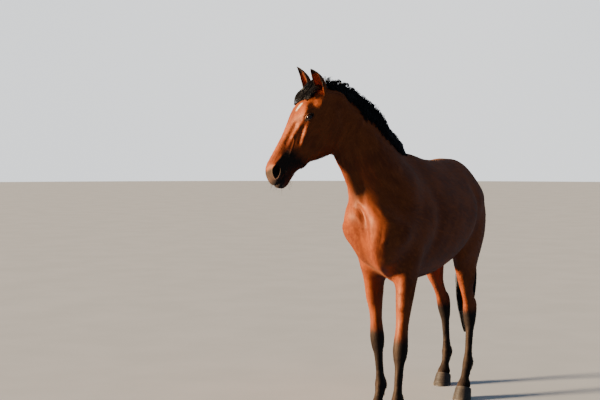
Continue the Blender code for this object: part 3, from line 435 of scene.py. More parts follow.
def body_lofts():
    """The trunk, the neck, the head and the four legs as closed lofts."""
    trunk = [((0, y, top), (0, y, bottom), wide) for y, top, bottom, *wide in sections(TRUNK, 60)]
    neck = [((0, *row[:2]), (0, *row[2:4]), row[4:]) for row in sections(NECK, 40)]
    head = [
        (on_head((0, down, nose)), on_head((0, down, jaw)), wide)
        for down, nose, jaw, *wide in sections(HEAD, 60)
    ]
    lofts = [
        loft([ring(first, last, X_AXIS, wide, 48) for first, last, wide in part])
        for part in (trunk, neck, head)
    ]
    for table in (FORE_LEG, HIND_LEG):
        for side in (1, -1):
            rings = []
            for height, front, back, inside, outside in sections(table, 80):
                middle, width = side * (inside + outside) / 2, (outside - inside) / 2
                ends = ((middle, front, height), (middle, back, height))
                rings.append(ring(*ends, X_AXIS, LEG_FULLNESS * width, 32))
            lofts.append(loft(rings))
    return lofts


def made_finer(mesh, points, chosen, rounds):
    """Every edge between chosen points split in two, and the finer surface drawn smooth."""
    write_points(mesh, points)
    keep_values(mesh, chosen=chosen)
    build = bmesh.new()
    build.from_mesh(mesh)
    layer = build.verts.layers.float["chosen"]
    edges = [e for e in build.edges if e.verts[0][layer] > 0.5 and e.verts[1][layer] > 0.5]
    bmesh.ops.subdivide_edges(build, edges=edges, cuts=1, use_grid_fill=True)
    finer = bpy.data.meshes.new("skin")
    build.to_mesh(finer)
    build.free()
    near = np.empty(len(finer.vertices), np.float32)
    finer.attributes["chosen"].data.foreach_get("value", near)
    finer.attributes.remove(finer.attributes["chosen"])
    return finer, relaxed(finer, read_points(finer), 0.5 * near.astype(float), rounds)


def distance_to_line(points, start, end):
    """How far each point is from the nearest place between start and end."""
    start, end = np.array(start), np.array(end)
    along = end - start
    t = np.clip((points - start) @ along / (along @ along), 0, 1)
    return np.linalg.norm(points - start - t[:, None] * along, axis=1)


def raised(points, normals, relief):
    """The points moved out or in near the lines of the relief, which stand for both sides."""
    mirrored = on_left(points)
    rise = np.zeros(len(points))
    for start, end, reach, height in relief:
        rise += height * np.exp(-((distance_to_line(mirrored, start, end) / reach) ** 2))
    return points + normals * rise[:, None]


def head_lines(relief):
    """Lines given on the head as lines in space."""
    return [(on_head(a), on_head(b), reach, height) for a, b, reach, height in relief]


def turn_of(y):
    """How far the neck is turned to the right at a place along the straight horse."""
    return NECK_TURN * smooth_step((y - TURN_BEGINS_Y) / (TURN_ENDS_Y - TURN_BEGINS_Y))


def posed(points):
    """Points of the straight horse as they lie when it stands with its head turned right."""
    points = np.atleast_2d(np.asarray(points, float))
    reach = np.linspace(0, 1.6, 321)
    angle = turn_of(TURN_BEGINS_Y - reach)
    step = reach[1] - reach[0]
    line_x = -np.concatenate([[0], np.cumsum(np.sin((angle[1:] + angle[:-1]) / 2))]) * step
    line_y = -np.concatenate([[0], np.cumsum(np.cos((angle[1:] + angle[:-1]) / 2))]) * step
    x, y, z = points.T
    along = np.clip(TURN_BEGINS_Y - y, 0, None)
    heading = turn_of(np.minimum(y, TURN_BEGINS_Y))
    moved_x = np.interp(along, reach, line_x) + x * np.cos(heading)
    moved_y = np.interp(along, reach, line_y) + TURN_BEGINS_Y
    moved_y = np.where(y < TURN_BEGINS_Y, moved_y, y) - x * np.sin(heading)
    breast, face = AHEAD_OF_BREAST
    share = smooth_step((z - STILL_BELOW) / (TURNS_ABOVE - STILL_BELOW))
    share = np.maximum(share, smooth_step((y - breast) / (face - breast)))
    turned = np.column_stack([x + (moved_x - x) * share, y + (moved_y - y) * share, z])
    x, y, z = turned.T
    shift = np.zeros(len(points))
    for leg, step in FOOT_STEP.items():
        pair, side = leg.split("_")
        own_side = smooth_step(0.5 + (x if side == "left" else -x) / LEFT_TO_RIGHT)
        own_end = smooth_step(0.5 + (y if pair == "hind" else -y) / FORE_TO_HIND)
        shift += step * own_side * own_end * np.clip((STEP_TOP - z) / (STEP_TOP - RIGID_FOOT), 0, 1)
    return turned + np.outer(shift, (0, 1, 0)) + TO_FRAME


# The straight horse's middle and the frame's differ by a fixed shift, found at the left eye.
TO_FRAME = np.zeros(3)
eye_low, eye_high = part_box("eye_left")
TO_FRAME = np.array((eye_low + eye_high) / 2) - posed(on_head(EYE_PLACE))[0]

skin_mesh = with_modifier(
    joined_lofts("masses", body_lofts()), "REMESH", mode="VOXEL", voxel_size=BODY_VOXEL
)
straight = relaxed(skin_mesh, read_points(skin_mesh), np.full(len(skin_mesh.vertices), 0.5), 3)
for place, reach, rounds in SEAMS:
    away = np.linalg.norm(on_left(straight) - place, axis=1) / reach
    straight = relaxed(skin_mesh, straight, 0.5 * smooth_step(1.6 * (1 - away)), rounds)

# The head and the lower legs get a finer mesh, and eyes, nostrils and lips the finest.
FINE_LEGS_BELOW, FINE_FACE_ABOVE = 0.34, -0.165
FINEST = ((EYE_PLACE, 0.046), ((0.054, 0.560, -0.055), 0.050))
FINEST_BY_EYE = 0.032
JAW_UP, THROAT_SLOPE, HEAD_BEGINS_Y = -0.345, 0.3, -0.70
LIPS = ((0.0, 0.628, -0.102), (0.058, 0.545, -0.106), 0.018)


def is_head(points, from_down=-0.03):
    """Which points of the straight horse lie on its head, from some way behind the poll on."""
    down, up = to_head(points)[:, 1:].T
    over_throat = up > JAW_UP - THROAT_SLOPE * np.clip(-down, 0, 1)
    return (down > from_down) & over_throat & (points[:, 1] < HEAD_BEGINS_Y)


chosen = is_head(straight) | (straight[:, 2] < FINE_LEGS_BELOW)
skin_mesh, straight = made_finer(skin_mesh, straight, chosen, 5)
chosen = is_head(straight, 0.02) & (to_head(straight)[:, 2] > FINE_FACE_ABOVE)
skin_mesh, straight = made_finer(skin_mesh, straight, chosen, 3)
on_face = on_left_face(straight)
chosen = distance_to_line(on_face, *LIPS[:2]) < LIPS[2]
for place, reach in FINEST:
    chosen |= np.linalg.norm(on_face - place, axis=1) < reach
skin_mesh, straight = made_finer(skin_mesh, straight, chosen, 2)
from_eye = np.linalg.norm(on_left_face(straight) - EYE_PLACE, axis=1)
skin_mesh, straight = made_finer(skin_mesh, straight, from_eye < FINEST_BY_EYE, 2)

# Muscles and hollows first, then what only a finer skin can hold: veins, folds and lips.
FINE_RELIEF = (
    ((0.094, 0.236, -0.030), (0.068, 0.280, -0.036), 0.013, 0.0030),  # from the eye to the nose
    ((0.068, 0.280, -0.036), (0.050, 0.340, -0.040), 0.012, 0.0040),
    ((0.050, 0.340, -0.040), (0.043, 0.400, -0.046), 0.012, 0.0026),
    ((0.056, 0.275, -0.011), (0.040, 0.385, -0.025), 0.013, -0.0042),  # beside the nose
    ((0.093, 0.256, -0.066), (0.084, 0.286, -0.082), 0.015, 0.0026),  # ridge of the cheek
    ((0.084, 0.286, -0.082), (0.073, 0.345, -0.098), 0.014, 0.0036),
    ((0.073, 0.345, -0.098), (0.056, 0.400, -0.126), 0.015, 0.0028),
    ((0.085, 0.263, -0.054), (0.067, 0.301, -0.067), 0.009, -0.0034),  # between the two
    ((0.067, 0.301, -0.067), (0.064, 0.352, -0.084), 0.010, -0.0042),
    ((0.056, 0.350, -0.052), (0.052, 0.430, -0.074), 0.005, 0.0024),  # veins of the face
    ((0.086, 0.300, -0.140), (0.056, 0.420, -0.120), 0.005, 0.0026),
    ((0.056, 0.420, -0.120), (0.052, 0.450, -0.080), 0.005, 0.0022),
    ((0.088, 0.330, -0.190), (0.060, 0.410, -0.158), 0.006, 0.0024),
    ((0.097, 0.110, -0.240), (0.090, 0.250, -0.270), 0.020, 0.0030),  # edge of the jaw
    ((0.100, 0.120, -0.140), (0.096, 0.240, -0.150), 0.045, 0.0035),
    ((0.094, 0.095, -0.070), (0.094, 0.150, -0.090), 0.010, 0.0030),  # arch behind the eye
    ((0.046, 0.470, -0.040), (0.050, 0.525, -0.026), 0.010, 0.0030),  # above the nostril
    ((0.054, 0.500, -0.100), (0.050, 0.560, -0.098), 0.014, 0.0025),  # upper lip
    ((0.048, 0.575, -0.128), (0.030, 0.600, -0.128), 0.010, 0.0030),  # lower lip
    ((0.000, 0.470, -0.182), (0.000, 0.500, -0.180), 0.020, -0.0050),  # before the chin
    ((0.058, 0.548, -0.106), (0.062, 0.530, -0.112), 0.007, -0.0030),  # corner of the mouth
)
FINE_BREAST = (
    ((0.086, -0.802, 1.450), (0.032, -0.868, 1.310), 0.016, -0.008),  # from neck to breast groove
    ((0.012, -0.872, 1.330), (0.006, -0.850, 1.120), 0.010, -0.006),
    ((0.070, -0.862, 1.330), (0.052, -0.856, 1.140), 0.011, -0.0035),  # strands of the muscle
    ((0.106, -0.842, 1.320), (0.094, -0.838, 1.120), 0.011, -0.0035),
    ((0.136, -0.815, 1.290), (0.128, -0.805, 1.120), 0.012, -0.0040),
)
for relief in (
    BODY_RELIEF, FINE_BREAST, LEG_RELIEF, head_lines(HEAD_RELIEF), head_lines(FINE_RELIEF)
):
    write_points(skin_mesh, straight)
    straight = raised(straight, read_normals(skin_mesh), relief)

# A lid lies round the ball like a thick shell with an almond opening, lower at its inner corner.
# Its along runs towards the inner corner.
EYE_OUT, EYE_ALONG, EYE_UP = square_axes((0.955, -0.04, 0.295), (0.0, 0.834, 0.552))
OPEN_LONG, OPEN_HIGH, LID_THICK = 0.0200, 0.0126, 0.0032
CORNER_DROPS, UPPER_LID_FULLER, ALMOND_POWER = 0.14, 0.12, 1.7
# Creases: how far out as a multiple of the opening, how wide, how deep, and over or under it.
LID_CREASES = ((1.72, 0.15, 0.0026, 1), (2.25, 0.17, 0.0016, 1), (1.62, 0.15, 0.0014, -1))
LID_REACH, LID_FADES, LID_MELTS = 0.036, 0.010, 0.004
LID_BELOW_BALL = 0.006


def eye_parts(on_face):
    """Along, up and out from the middle of the ball, and how far out the opening's edge is."""
    from_eye = on_face - EYE_PLACE
    along, up, out = from_eye @ EYE_ALONG, from_eye @ EYE_UP, from_eye @ EYE_OUT
    level = up + CORNER_DROPS * along
    high = OPEN_HIGH * (1 + UPPER_LID_FULLER * np.tanh(level / 0.004))
    sides = np.abs(along / OPEN_LONG) ** ALMOND_POWER + np.abs(level / high) ** ALMOND_POWER
    return along, up, out, sides ** (1 / ALMOND_POWER)


@for_both_sides
def with_lids(on_face):
    """The face with its lids laid round the balls and opened, with their creases."""
    along, up, out, opening = eye_parts(on_face)
    away = np.hypot(along, up)
    shell = np.sqrt(np.clip((EYE_RADIUS + LID_THICK) ** 2 - away**2, 0, None))
    ball = np.sqrt(np.clip(EYE_RADIUS**2 - away**2, 0, None))
    crease = np.zeros(len(out))
    for place, width, deep, over in LID_CREASES:
        crease += deep * np.exp(-(((opening - place) / width) ** 2)) * smooth_step(over * up / 0.006)
    rim = 0.0008 + 0.0014 * smooth_step(up / 0.006)
    rim = rim * np.exp(-(((opening - 1.22) / 0.22) ** 2))
    meet = np.clip(0.5 + 0.5 * (shell - out) / LID_MELTS, 0, 1)
    lid = out + (shell - out) * meet + LID_MELTS * meet * (1 - meet) + rim - crease
    inside = smooth_step((1.08 - opening) / 0.24)
    lid = lid + (np.minimum(lid, ball - LID_BELOW_BALL) - lid) * inside
    near = smooth_step((LID_REACH - away) / LID_FADES) * (out > -0.004)
    return on_face + np.outer((lid - out) * near, EYE_OUT)


# The nostril is a deep oval, widest high up, with a rounded rim that stands proud of the muzzle.
NOSTRIL_PLACE = np.array([0.055, 0.560, -0.054])
NOSTRIL_OUT, NOSTRIL_LONG, NOSTRIL_WIDE = square_axes((0.88, 0.30, 0.36), (0.0, -0.87, 0.49))
NOSTRIL_SIZE = (0.0350, 0.0210)
NOSTRIL_DEPTH, NOSTRIL_RIM, NOSTRIL_REACH = 0.040, 0.0034, 0.055
NOSTRIL_FULLER_ABOVE = 0.22


def nostril_edge(on_face):
    """1 on the edge of the opening, less inside it and more outside."""
    from_middle = on_face - NOSTRIL_PLACE
    long, wide = from_middle @ NOSTRIL_LONG, from_middle @ NOSTRIL_WIDE
    fuller = NOSTRIL_FULLER_ABOVE * np.clip(long / NOSTRIL_SIZE[0], -1, 1)
    return np.sqrt((long / NOSTRIL_SIZE[0]) ** 2 + (wide / (NOSTRIL_SIZE[1] * (1 + fuller))) ** 2)


@for_both_sides
def with_nostrils(on_face):
    """The face with its nostrils sunk and their rims raised."""
    edge = nostril_edge(on_face)
    near = np.linalg.norm(on_face - NOSTRIL_PLACE, axis=1) < NOSTRIL_REACH
    rise = NOSTRIL_RIM * np.exp(-(((edge - 1.12) / 0.20) ** 2))
    rise -= NOSTRIL_DEPTH * np.clip(1.04 - edge, 0, 1) ** 0.8
    return on_face + np.outer(rise * near, NOSTRIL_OUT)


straight = with_nostrils(with_lids(straight))

# Each ear is a cupped leaf, joined to the head and drawn smooth at its root.
EAR_LENGTH = {1: 0.172, -1: 0.184}
EAR_ROOT = {1: (0.062, 0.052, -0.074), -1: (0.060, 0.070, -0.046)}
EAR_LEAN = {1: (0.13, -0.51, 0.87), -1: (0.22, -0.31, 0.93)}
EAR_OPENS = {1: (0.45, -0.88, -0.10), -1: (-0.10, -0.99, -0.10)}
EAR_THICKNESS = 0.0066
# Along the ear: half-width, how far round the shell reaches in degrees, curve to the front.
EAR_SECTIONS = (
    (0.00, 0.024, 150, 0.000),
    (0.15, 0.027, 135, -0.004),
    (0.35, 0.033, 112, -0.007),
    (0.55, 0.032, 98, -0.006),
    (0.75, 0.025, 88, -0.001),
    (0.90, 0.015, 80, 0.005),
    (1.00, 0.0045, 70, 0.009),
)


def ear_axes(side):
    """The root of an ear, its way up, the way it opens and the way across."""
    mirror = np.array([side, 1, 1])
    return on_head(EAR_ROOT[side]) * mirror, *square_axes(
        EAR_LEAN[side] * mirror, EAR_OPENS[side] * mirror
    )


def by_ear(points, side):
    """How far up an ear points are, their way off its axis, and how far off they are."""
    root, along = ear_axes(side)[:2]
    up_ear = (points - root) @ along
    off = points - root - np.outer(up_ear, along)
    return up_ear, off, np.linalg.norm(off, axis=1)


def ear_row(share):
    """The rows of the ear's table at shares of its length."""
    table = np.array(EAR_SECTIONS)
    return curve_through(table[:, 0], table, share)


def ear_loft(side):
    """The closed shell of one ear, of rings that run round its outside and back inside."""
    root, along, opens, across = ear_axes(side)
    rings = []
    for u, radius, reach, forward in ear_row(np.linspace(0, 1, 26)):
        angle = np.radians(np.linspace(-reach, reach, 17))
        shell = np.outer(-np.cos(angle), opens) + np.outer(np.sin(angle), across)
        centre = root + along * (EAR_LENGTH[side] * u) + opens * forward
        inner = max(radius - EAR_THICKNESS * (1.15 - 0.45 * u), radius * 0.25)
        inside = centre + opens * 0.001 + shell[::-1] * inner
        rings.append(np.vstack([centre + shell * radius, inside]))
    return loft(rings)


ears_mesh = joined_lofts("ears", [ear_loft(1), ear_loft(-1)])
ears = bpy.data.objects.new("ears", ears_mesh)
bpy.context.scene.collection.objects.link(ears)
write_points(skin_mesh, straight)
skin_mesh = with_modifier(skin_mesh, "BOOLEAN", operation="UNION", solver="EXACT", object=ears)
bpy.data.objects.remove(ears, do_unlink=True)
straight = read_points(skin_mesh)
at_root = np.zeros(len(straight))
for side in (1, -1):
    up_ear, _, out = by_ear(straight, side)
    reach = np.exp(-(((up_ear - 0.012) / 0.022) ** 2)) * smooth_step((0.062 - out) / 0.02)
    at_root = np.maximum(at_root, reach)
straight = relaxed(skin_mesh, straight, 0.5 * at_root, 8)
write_points(skin_mesh, straight)
straight_normals = read_normals(skin_mesh)

# The pose, and the skin sunk by the coat's depth, least where the coat is thinnest.
write_points(skin_mesh, posed(straight))
posed_normals = read_normals(skin_mesh)
thin = smooth_step((to_head(straight)[:, 1] - 0.44) / 0.12) * is_head(straight)
for side in (1, -1):
    up_ear, _, out = by_ear(straight, side)
    thin = np.maximum(thin, smooth_step((up_ear - 0.01) / 0.03) * (out < 0.05))
depth = COAT_DEPTH * (1 - 0.75 * thin)
inset = read_points(skin_mesh) - posed_normals * depth[:, None]
# The foremost swell of the muzzle is drawn in a little, to stay within the horse's length.
FRONT_LIMIT, DRAWN_IN = 0.0015, 0.012
past = cad_box[0][1] + FRONT_LIMIT + DRAWN_IN - inset[:, 1]
inset[:, 1] += np.where(past > 0, past - DRAWN_IN * np.tanh(past / DRAWN_IN), 0)
write_points(skin_mesh, inset)

# Markings: how black, white and bare the hide is, with painted shade under the jaw and a painted
# highlight on the bare skin, from its place on the straight horse.
BLACK_BELOW, BLACK_FORE_FADES, BLACK_HIND_FADES = 0.66, 0.18, 0.16
STAR_ACROSS, STAR_DOWN, STAR_LONG, STAR_WIDE = 0.034, 0.178, 0.034, 0.0105
MUZZLE_BEGINS, MUZZLE_SLANT, MUZZLE_FADES = 0.34, 0.18, 0.14
LIP_BEGINS, LIP_SLANT, LIP_FADES = 0.52, 0.045, 0.09
BY_EYE, BY_NOSTRIL, EAR_OUT = 0.06, 0.065, 0.045


def ear_markings(points, black):
    """The black share, with the rim, the tip and the back of each ear darkened."""
    for side in (1, -1):
        up_ear, off, out = by_ear(points, side)
        u = up_ear / EAR_LENGTH[side]
        opens = ear_axes(side)[2]
        row = ear_row(np.clip(u, 0, 1))
        off_centre = off - np.outer(row[:, 3], opens)
        edge = smooth_step((off_centre @ opens / row[:, 1] + 0.15) / 0.30)
        rim = np.maximum(edge * smooth_step((u - 0.2) / 0.2), smooth_step((u - 0.66) / 0.22))
        on_back = np.linalg.norm(off_centre, axis=1) / row[:, 1] > 0.9
        back = 0.45 * smooth_step((u - 0.1) / 0.5) * on_back
        black = np.where((u > 0.06) & (out < EAR_OUT), np.maximum(rim, back), black)
    return black


def star(points, head):
    """The share of white hair in the long narrow star, which slants towards the middle."""
    across, down, up = to_head(points).T
    along = (down - STAR_DOWN) / STAR_LONG
    middle = STAR_ACROSS - 0.10 * (down - STAR_DOWN)
    half = STAR_WIDE * np.sqrt(np.clip(1 - along**2, 0, 1)) * (1 - 0.25 * along)
    white = smooth_step(0.5 + (half - 0.001 - np.abs(across - middle)) / 0.006)
    return white * head * (up > -0.05) * smooth_step((1 - np.abs(along)) / 0.2)


MARKINGS = ("black", "white", "bare", "pale")


def markings(points):
    """The shares of black hair (with painted shade under the jaw), white hair, bare dark skin, and a
    painted highlight on that skin, at points.
    """
    on_face = on_left_face(points)
    down, up = on_face[:, 1:].T
    head = smooth_step((down + 0.02) / 0.04) * is_head(points)
    fades = np.where(points[:, 1] < 0, BLACK_FORE_FADES, BLACK_HIND_FADES)
    legs = smooth_step((BLACK_BELOW - points[:, 2]) / fades)
    begins = MUZZLE_BEGINS + MUZZLE_SLANT * smooth_step((up + 0.055) / 0.045)
    muzzle = smooth_step((down - begins) / MUZZLE_FADES) * head
    # jaw: painted shade, the hair under the jaw darkened where its underside falls in shadow.
    jaw = 0.45 * smooth_step((-up - 0.17) / 0.10) * smooth_step((down - 0.22) / 0.18) * head
    opening = eye_parts(on_face)[3]
    near_eye = np.linalg.norm(on_face - EYE_PLACE, axis=1) < BY_EYE
    eye_ring = 0.75 * smooth_step((2.0 - opening) / 0.7) * near_eye
    black = ear_markings(points, np.maximum.reduce([legs, muzzle, jaw, eye_ring]))
    lip = LIP_BEGINS + LIP_SLANT * smooth_step((up + 0.09) / 0.05)
    lips, lids = smooth_step((down - lip) / LIP_FADES) * head, smooth_step((1.40 - opening) / 0.2)
    bare = np.maximum(lips, lids * near_eye)
    # pale is a painted highlight on the bare skin: a ring round each nostril's rim, and the front of
    # the muzzle.
    edge = nostril_edge(on_face)
    by_nostril = np.linalg.norm(on_face - NOSTRIL_PLACE, axis=1) < BY_NOSTRIL
    rim = np.exp(-(((edge - 1.14) / 0.15) ** 2)) * by_nostril
    front = smooth_step((down - 0.50) / 0.07) * smooth_step((up + 0.085) / 0.05) * head
    pale = np.maximum(rim, 0.70 * front) * smooth_step((edge - 0.90) / 0.12)
    return np.clip(black, 0, 1), star(points, head), np.clip(bare, 0, 1), pale


def mixed(points, body, neck, leg, head):
    """Values for the body, led over into those for the neck, the legs and the head."""
    z = points[:, 2]
    on_neck = smooth_step((-points[:, 1] - 0.45) / 0.2) * smooth_step((z - 1.2) / 0.2)
    on_leg = smooth_step((0.95 - z) / 0.15)
    on_face = smooth_step((to_head(points)[:, 1] + 0.05) / 0.10) * is_head(points, -0.06)
    value = body
    for share, other in ((on_neck, neck), (on_leg, leg), (on_face, head)):
        value = value + (other - value) * share[:, None]
    return value


def lie_of_coat(points):
    """The way the hair points on the straight horse: back and down, and down the legs."""
    z = points[:, 2]
    cheek = smooth_step((-to_head(points)[:, 2] - 0.06) / 0.1) * 0.7
    body = np.column_stack([0 * z, 0 * z + 0.9, -0.35 - 0.3 * smooth_step((1.3 - z) / 0.3)])
    neck, leg = np.array([0, 0.35, -0.95]), np.array([0, 0.12, -1.0])
    return mixed(points, body, neck, leg, FACE_DOWN - np.outer(cheek, FACE_UP))


def grain_places(points):
    """Coordinates for the hair's own texture, with the first along the lie of the coat.

    The fixed shifts make neighbouring regions agree where they meet, so the grain runs on.
    """
    x, y, z = points.T
    across, down, up = to_head(points).T
    leg_y = np.where(y < 0, -0.49, 0.68)
    body = np.column_stack([0.93 * y - 0.37 * z, x, 0.37 * y + 0.93 * z])
    neck = np.column_stack([0.35 * y - 0.94 * z + 0.50, x, 0.94 * y + 0.35 * z + 1.155])
    leg = np.column_stack([0.93 * y - z + 0.55, x, y - 0.63 * leg_y + 0.81])
    return mixed(points, body, neck, leg, np.column_stack([down - 1.57, across, up + 1.17]))


class Shade:
    """One socket in a material. Sums, differences and products add the nodes that work them out."""

    def __init__(self, tree, socket=None):
        self.tree, self.socket = tree, socket

    def node(self, kind, settings, inputs, output=None):
        """A node with its settings, its sockets fed in order or by name, and one output."""
        made = self.tree.nodes.new("ShaderNode" + kind)
        for setting, value in settings.items():
            setattr(made, setting, value)
        if isinstance(inputs, dict):
            usable = [s for s in made.inputs if s.enabled]
            fed = [next(s for s in usable if name in (s.name, s.identifier)) for name in inputs]
            inputs = inputs.values()
        else:
            fed = made.inputs
        for socket, value in zip(fed, inputs):
            if isinstance(value, Shade):
                self.tree.links.new(value.socket, socket)
            else:
                socket.default_value = value
        outputs = [s for s in made.outputs if s.enabled and output in (None, s.name)]
        return Shade(self.tree, outputs[0])

    def maths(self, operation, *values):
        return self.node("Math", {"operation": operation}, values)

    def __add__(self, other):
        return self.maths("ADD", self, other)

    __radd__ = __add__

    def __sub__(self, other):
        return self.maths("SUBTRACT", self, other)

    def __rsub__(self, other):
        return self.maths("SUBTRACT", other, self)

    def __mul__(self, other):
        return self.maths("MULTIPLY", self, other)

    __rmul__ = __mul__

    def step(self, start, end):
        """0 below start and 1 above end, with a smooth run between them."""
        settings = {"interpolation_type": "SMOOTHSTEP"}
        inputs = {"Value": self, "From Min": start, "From Max": end}
        return self.node("MapRange", settings, inputs)

    def stretched(self, scale):
        """These coordinates scaled along each axis."""
        return self.node("Mapping", {}, {"Vector": self, "Scale": scale})

    def noise(self, scale=1.0, detail=2.0):
        """Cloudy noise from 0 to 1 at these coordinates."""
        inputs = {"Vector": self, "Scale": scale, "Detail": detail}
        return self.node("TexNoise", {}, inputs, "Fac")

    def blend(self, first, second):
        """The first colour where this share is 0 and the second where it is 1."""
        colours = {"Factor_Float": self, "A_Color": first, "B_Color": second}
        return self.node("Mix", {"data_type": "RGBA"}, colours)

    def kept(self, name, output="Fac"):
        """A value kept at the points of the mesh, or with output Vector the vector kept there."""
        return self.node("Attribute", {"attribute_name": name}, {}, output)

    def place(self):
        """The place on the piece itself, in metres."""
        return self.node("TexCoord", {}, {}, "Object")


def finish(name, **constants):
    """A new material: its start for adding nodes, and its shader's sockets by name."""
    made = bpy.data.materials.new(name)
    made.use_nodes = True
    shader = made.node_tree.nodes["Principled BSDF"]
    for socket, value in constants.items():
        shader.inputs[socket.replace("_", " ")].default_value = value
    return made, Shade(made.node_tree), shader.inputs


def colour(*linear):
    """An opaque colour from its shares of red, green and blue."""
    return (*linear, 1.0)


def feed(paint, socket, value):
    """The socket fed by a value of the same material."""
    paint.tree.links.new(value.socket, socket)


def feed_bump(paint, sockets, height, strength, depth):
    """Relief for the light alone, which rises by depth, in metres, where the height is 1."""
    bump = {"Height": height, "Strength": strength, "Distance": depth}
    feed(paint, sockets["Normal"], paint.node("Bump", {}, bump))


BAY_DARK, BAY_RED, BAY_BRIGHT = (
    colour(0.235, 0.046, 0.013), colour(0.39, 0.082, 0.018), colour(0.50, 0.118, 0.027)
)
BAY_BETWEEN_HAIRS, STAR_WHITE = colour(0.10, 0.022, 0.008), colour(0.62, 0.56, 0.46)
BLACK_DEEP, BLACK_WORN = colour(0.007, 0.006, 0.006), colour(0.026, 0.020, 0.018)
# Bare dark hide, and the paler colour painted on it as a highlight.
HIDE_DARK, HIDE_PAINTED_HIGHLIGHT = colour(0.024, 0.019, 0.018), colour(0.36, 0.19, 0.13)
# How many hairs, locks and patches lie in a metre along the coat and across it.
HAIRS, LOCKS, PATCHES = (60, 520, 520), (11, 60, 60), 7.0


def coat_finish(name, hair_depth):
    """Short bay hair: red brown, black at the points, white in the star, glossy along its lie."""
    made, paint, sockets = finish(
        name, Sheen_Weight=0.10, Sheen_Roughness=0.4, IOR=1.45,
        Sheen_Tint=colour(1.0, 0.60, 0.36), Specular_Tint=colour(1.0, 0.62, 0.40),
    )
    black, white, bare, pale = (paint.kept(kind) for kind in MARKINGS)
    grain = paint.kept("grain", "Vector")
    hairs = grain.stretched(HAIRS).noise(detail=3.0)
    locks = grain.stretched(LOCKS).noise(detail=3.0)
    patches = grain.noise(PATCHES, detail=3.0)
    bay = patches.step(0.35, 0.68).blend(BAY_DARK, BAY_RED)
    bay = (locks.step(0.42, 0.75) * 0.55).blend(bay, BAY_BRIGHT)
    bay = (hairs.step(0.62, 0.30) * 0.45).blend(bay, BAY_BETWEEN_HAIRS)
    ragged = (black + (locks - 0.5) * 0.55 * (black * (1 - black) * 4)).step(0.18, 0.82)
    hair = ragged.blend(bay, hairs.step(0.35, 0.75).blend(BLACK_DEEP, BLACK_WORN))
    hair = (white + (hairs - 0.5) * 0.9).step(0.35, 0.65).blend(hair, STAR_WHITE)
    # Painted highlight: the bare hide turns paler round the nostrils' rims and on the front of the
    # muzzle.
    hide = pale.blend(HIDE_DARK, HIDE_PAINTED_HIGHLIGHT)
    feed(paint, sockets["Base Color"], (bare * 0.85).blend(hair, hide))
    rough = 0.36 + 0.20 * locks + 0.10 * hairs + 0.14 * bare + 0.12 * black
    feed(paint, sockets["Roughness"], rough)
    feed_bump(paint, sockets, hairs * 0.6 + locks, 0.55, hair_depth)
    return made


def shown(name, mesh, paint):
    """The mesh in its material as an object of the scene."""
    mesh.materials.clear()
    mesh.materials.append(paint)
    made = bpy.data.objects.new(name, mesh)
    bpy.context.scene.collection.objects.link(made)
    return made


def on_horse(name, mesh, paint, slot_name, *nodes):
    """A piece of the horse, which takes the place of the nodes it dresses."""
    made = shown(name, mesh, paint)
    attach(made, "root")
    if nodes:
        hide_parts(*nodes)
    return made


keep_values(skin_mesh, **dict(zip(MARKINGS, markings(straight))), grain=grain_places(straight))
skin_mesh.shade_smooth()
flesh = ["head", "neck", "trunk", "ear_left", "ear_right"]
for word in ("left", "right"):
    for part in ("forearm", "fore_shank", "fore_pastern", "thigh", "hind_shank", "hind_pastern"):
        flesh.append(f"{part}_{word}")
on_horse("skin", skin_mesh, coat_finish("short_bay_coat", 0.0016), "bay_coat", *flesh)

# ------------------------------------------------------------------ the eyes
# A wet brown ball with a clear bulge in front, a dark iris and a pupil that lies level. Each is
# turned slightly forward in its socket, under the lids of the skin.
CORNEA_REACH, CORNEA_RISE = 0.0155, 0.0016
IRIS_DARK, IRIS_BROWN = colour(0.020, 0.008, 0.004), colour(0.070, 0.026, 0.010)
PUPIL_BLACK, IRIS_EDGE = colour(0.002, 0.002, 0.004), colour(0.006, 0.003, 0.002)
BEYOND_IRIS = colour(0.030, 0.016, 0.012)
# How much the squares of the distances along the pupil and up it count to its edge.
PUPIL_ALONG, PUPIL_UP = 5.0, 22.0


def eye_mesh(side):
    """A ball of rings about the way the eye looks, with the clear bulge raised at its front."""
    mirror = np.array([side, 1, 1])
    centre = on_head(EYE_PLACE * mirror)
    out, along, up = ((axis * mirror) @ HEAD_AXES for axis in (EYE_OUT, EYE_ALONG, EYE_UP))
    rings = []
    for polar in np.linspace(0, math.pi, 40)[1:-1]:
        turn = np.linspace(0, 2 * math.pi, 48, endpoint=False)
        reach = EYE_RADIUS * math.sin(polar)
        bulge = CORNEA_RISE * float(smooth_step((CORNEA_REACH - reach) / 0.006)) * (polar < 1.5)
        middle = centre + out * (EYE_RADIUS * math.cos(polar) - CORNEA_RISE + bulge)
        rings.append(
            middle + np.outer(np.cos(turn) * reach, along) + np.outer(np.sin(turn) * reach, up)
        )
    if side < 0:
        rings = [ring_points[::-1] for ring_points in rings]
    points, faces = loft(rings)
    made = mesh_of("eye", points, [tuple(reversed(f)) for f in faces])
    from_centre = points - centre
    places = np.column_stack([from_centre @ along, from_centre @ up, from_centre @ out])
    keep_values(made, iris=places / EYE_RADIUS)
    write_points(made, posed(points))
    return made


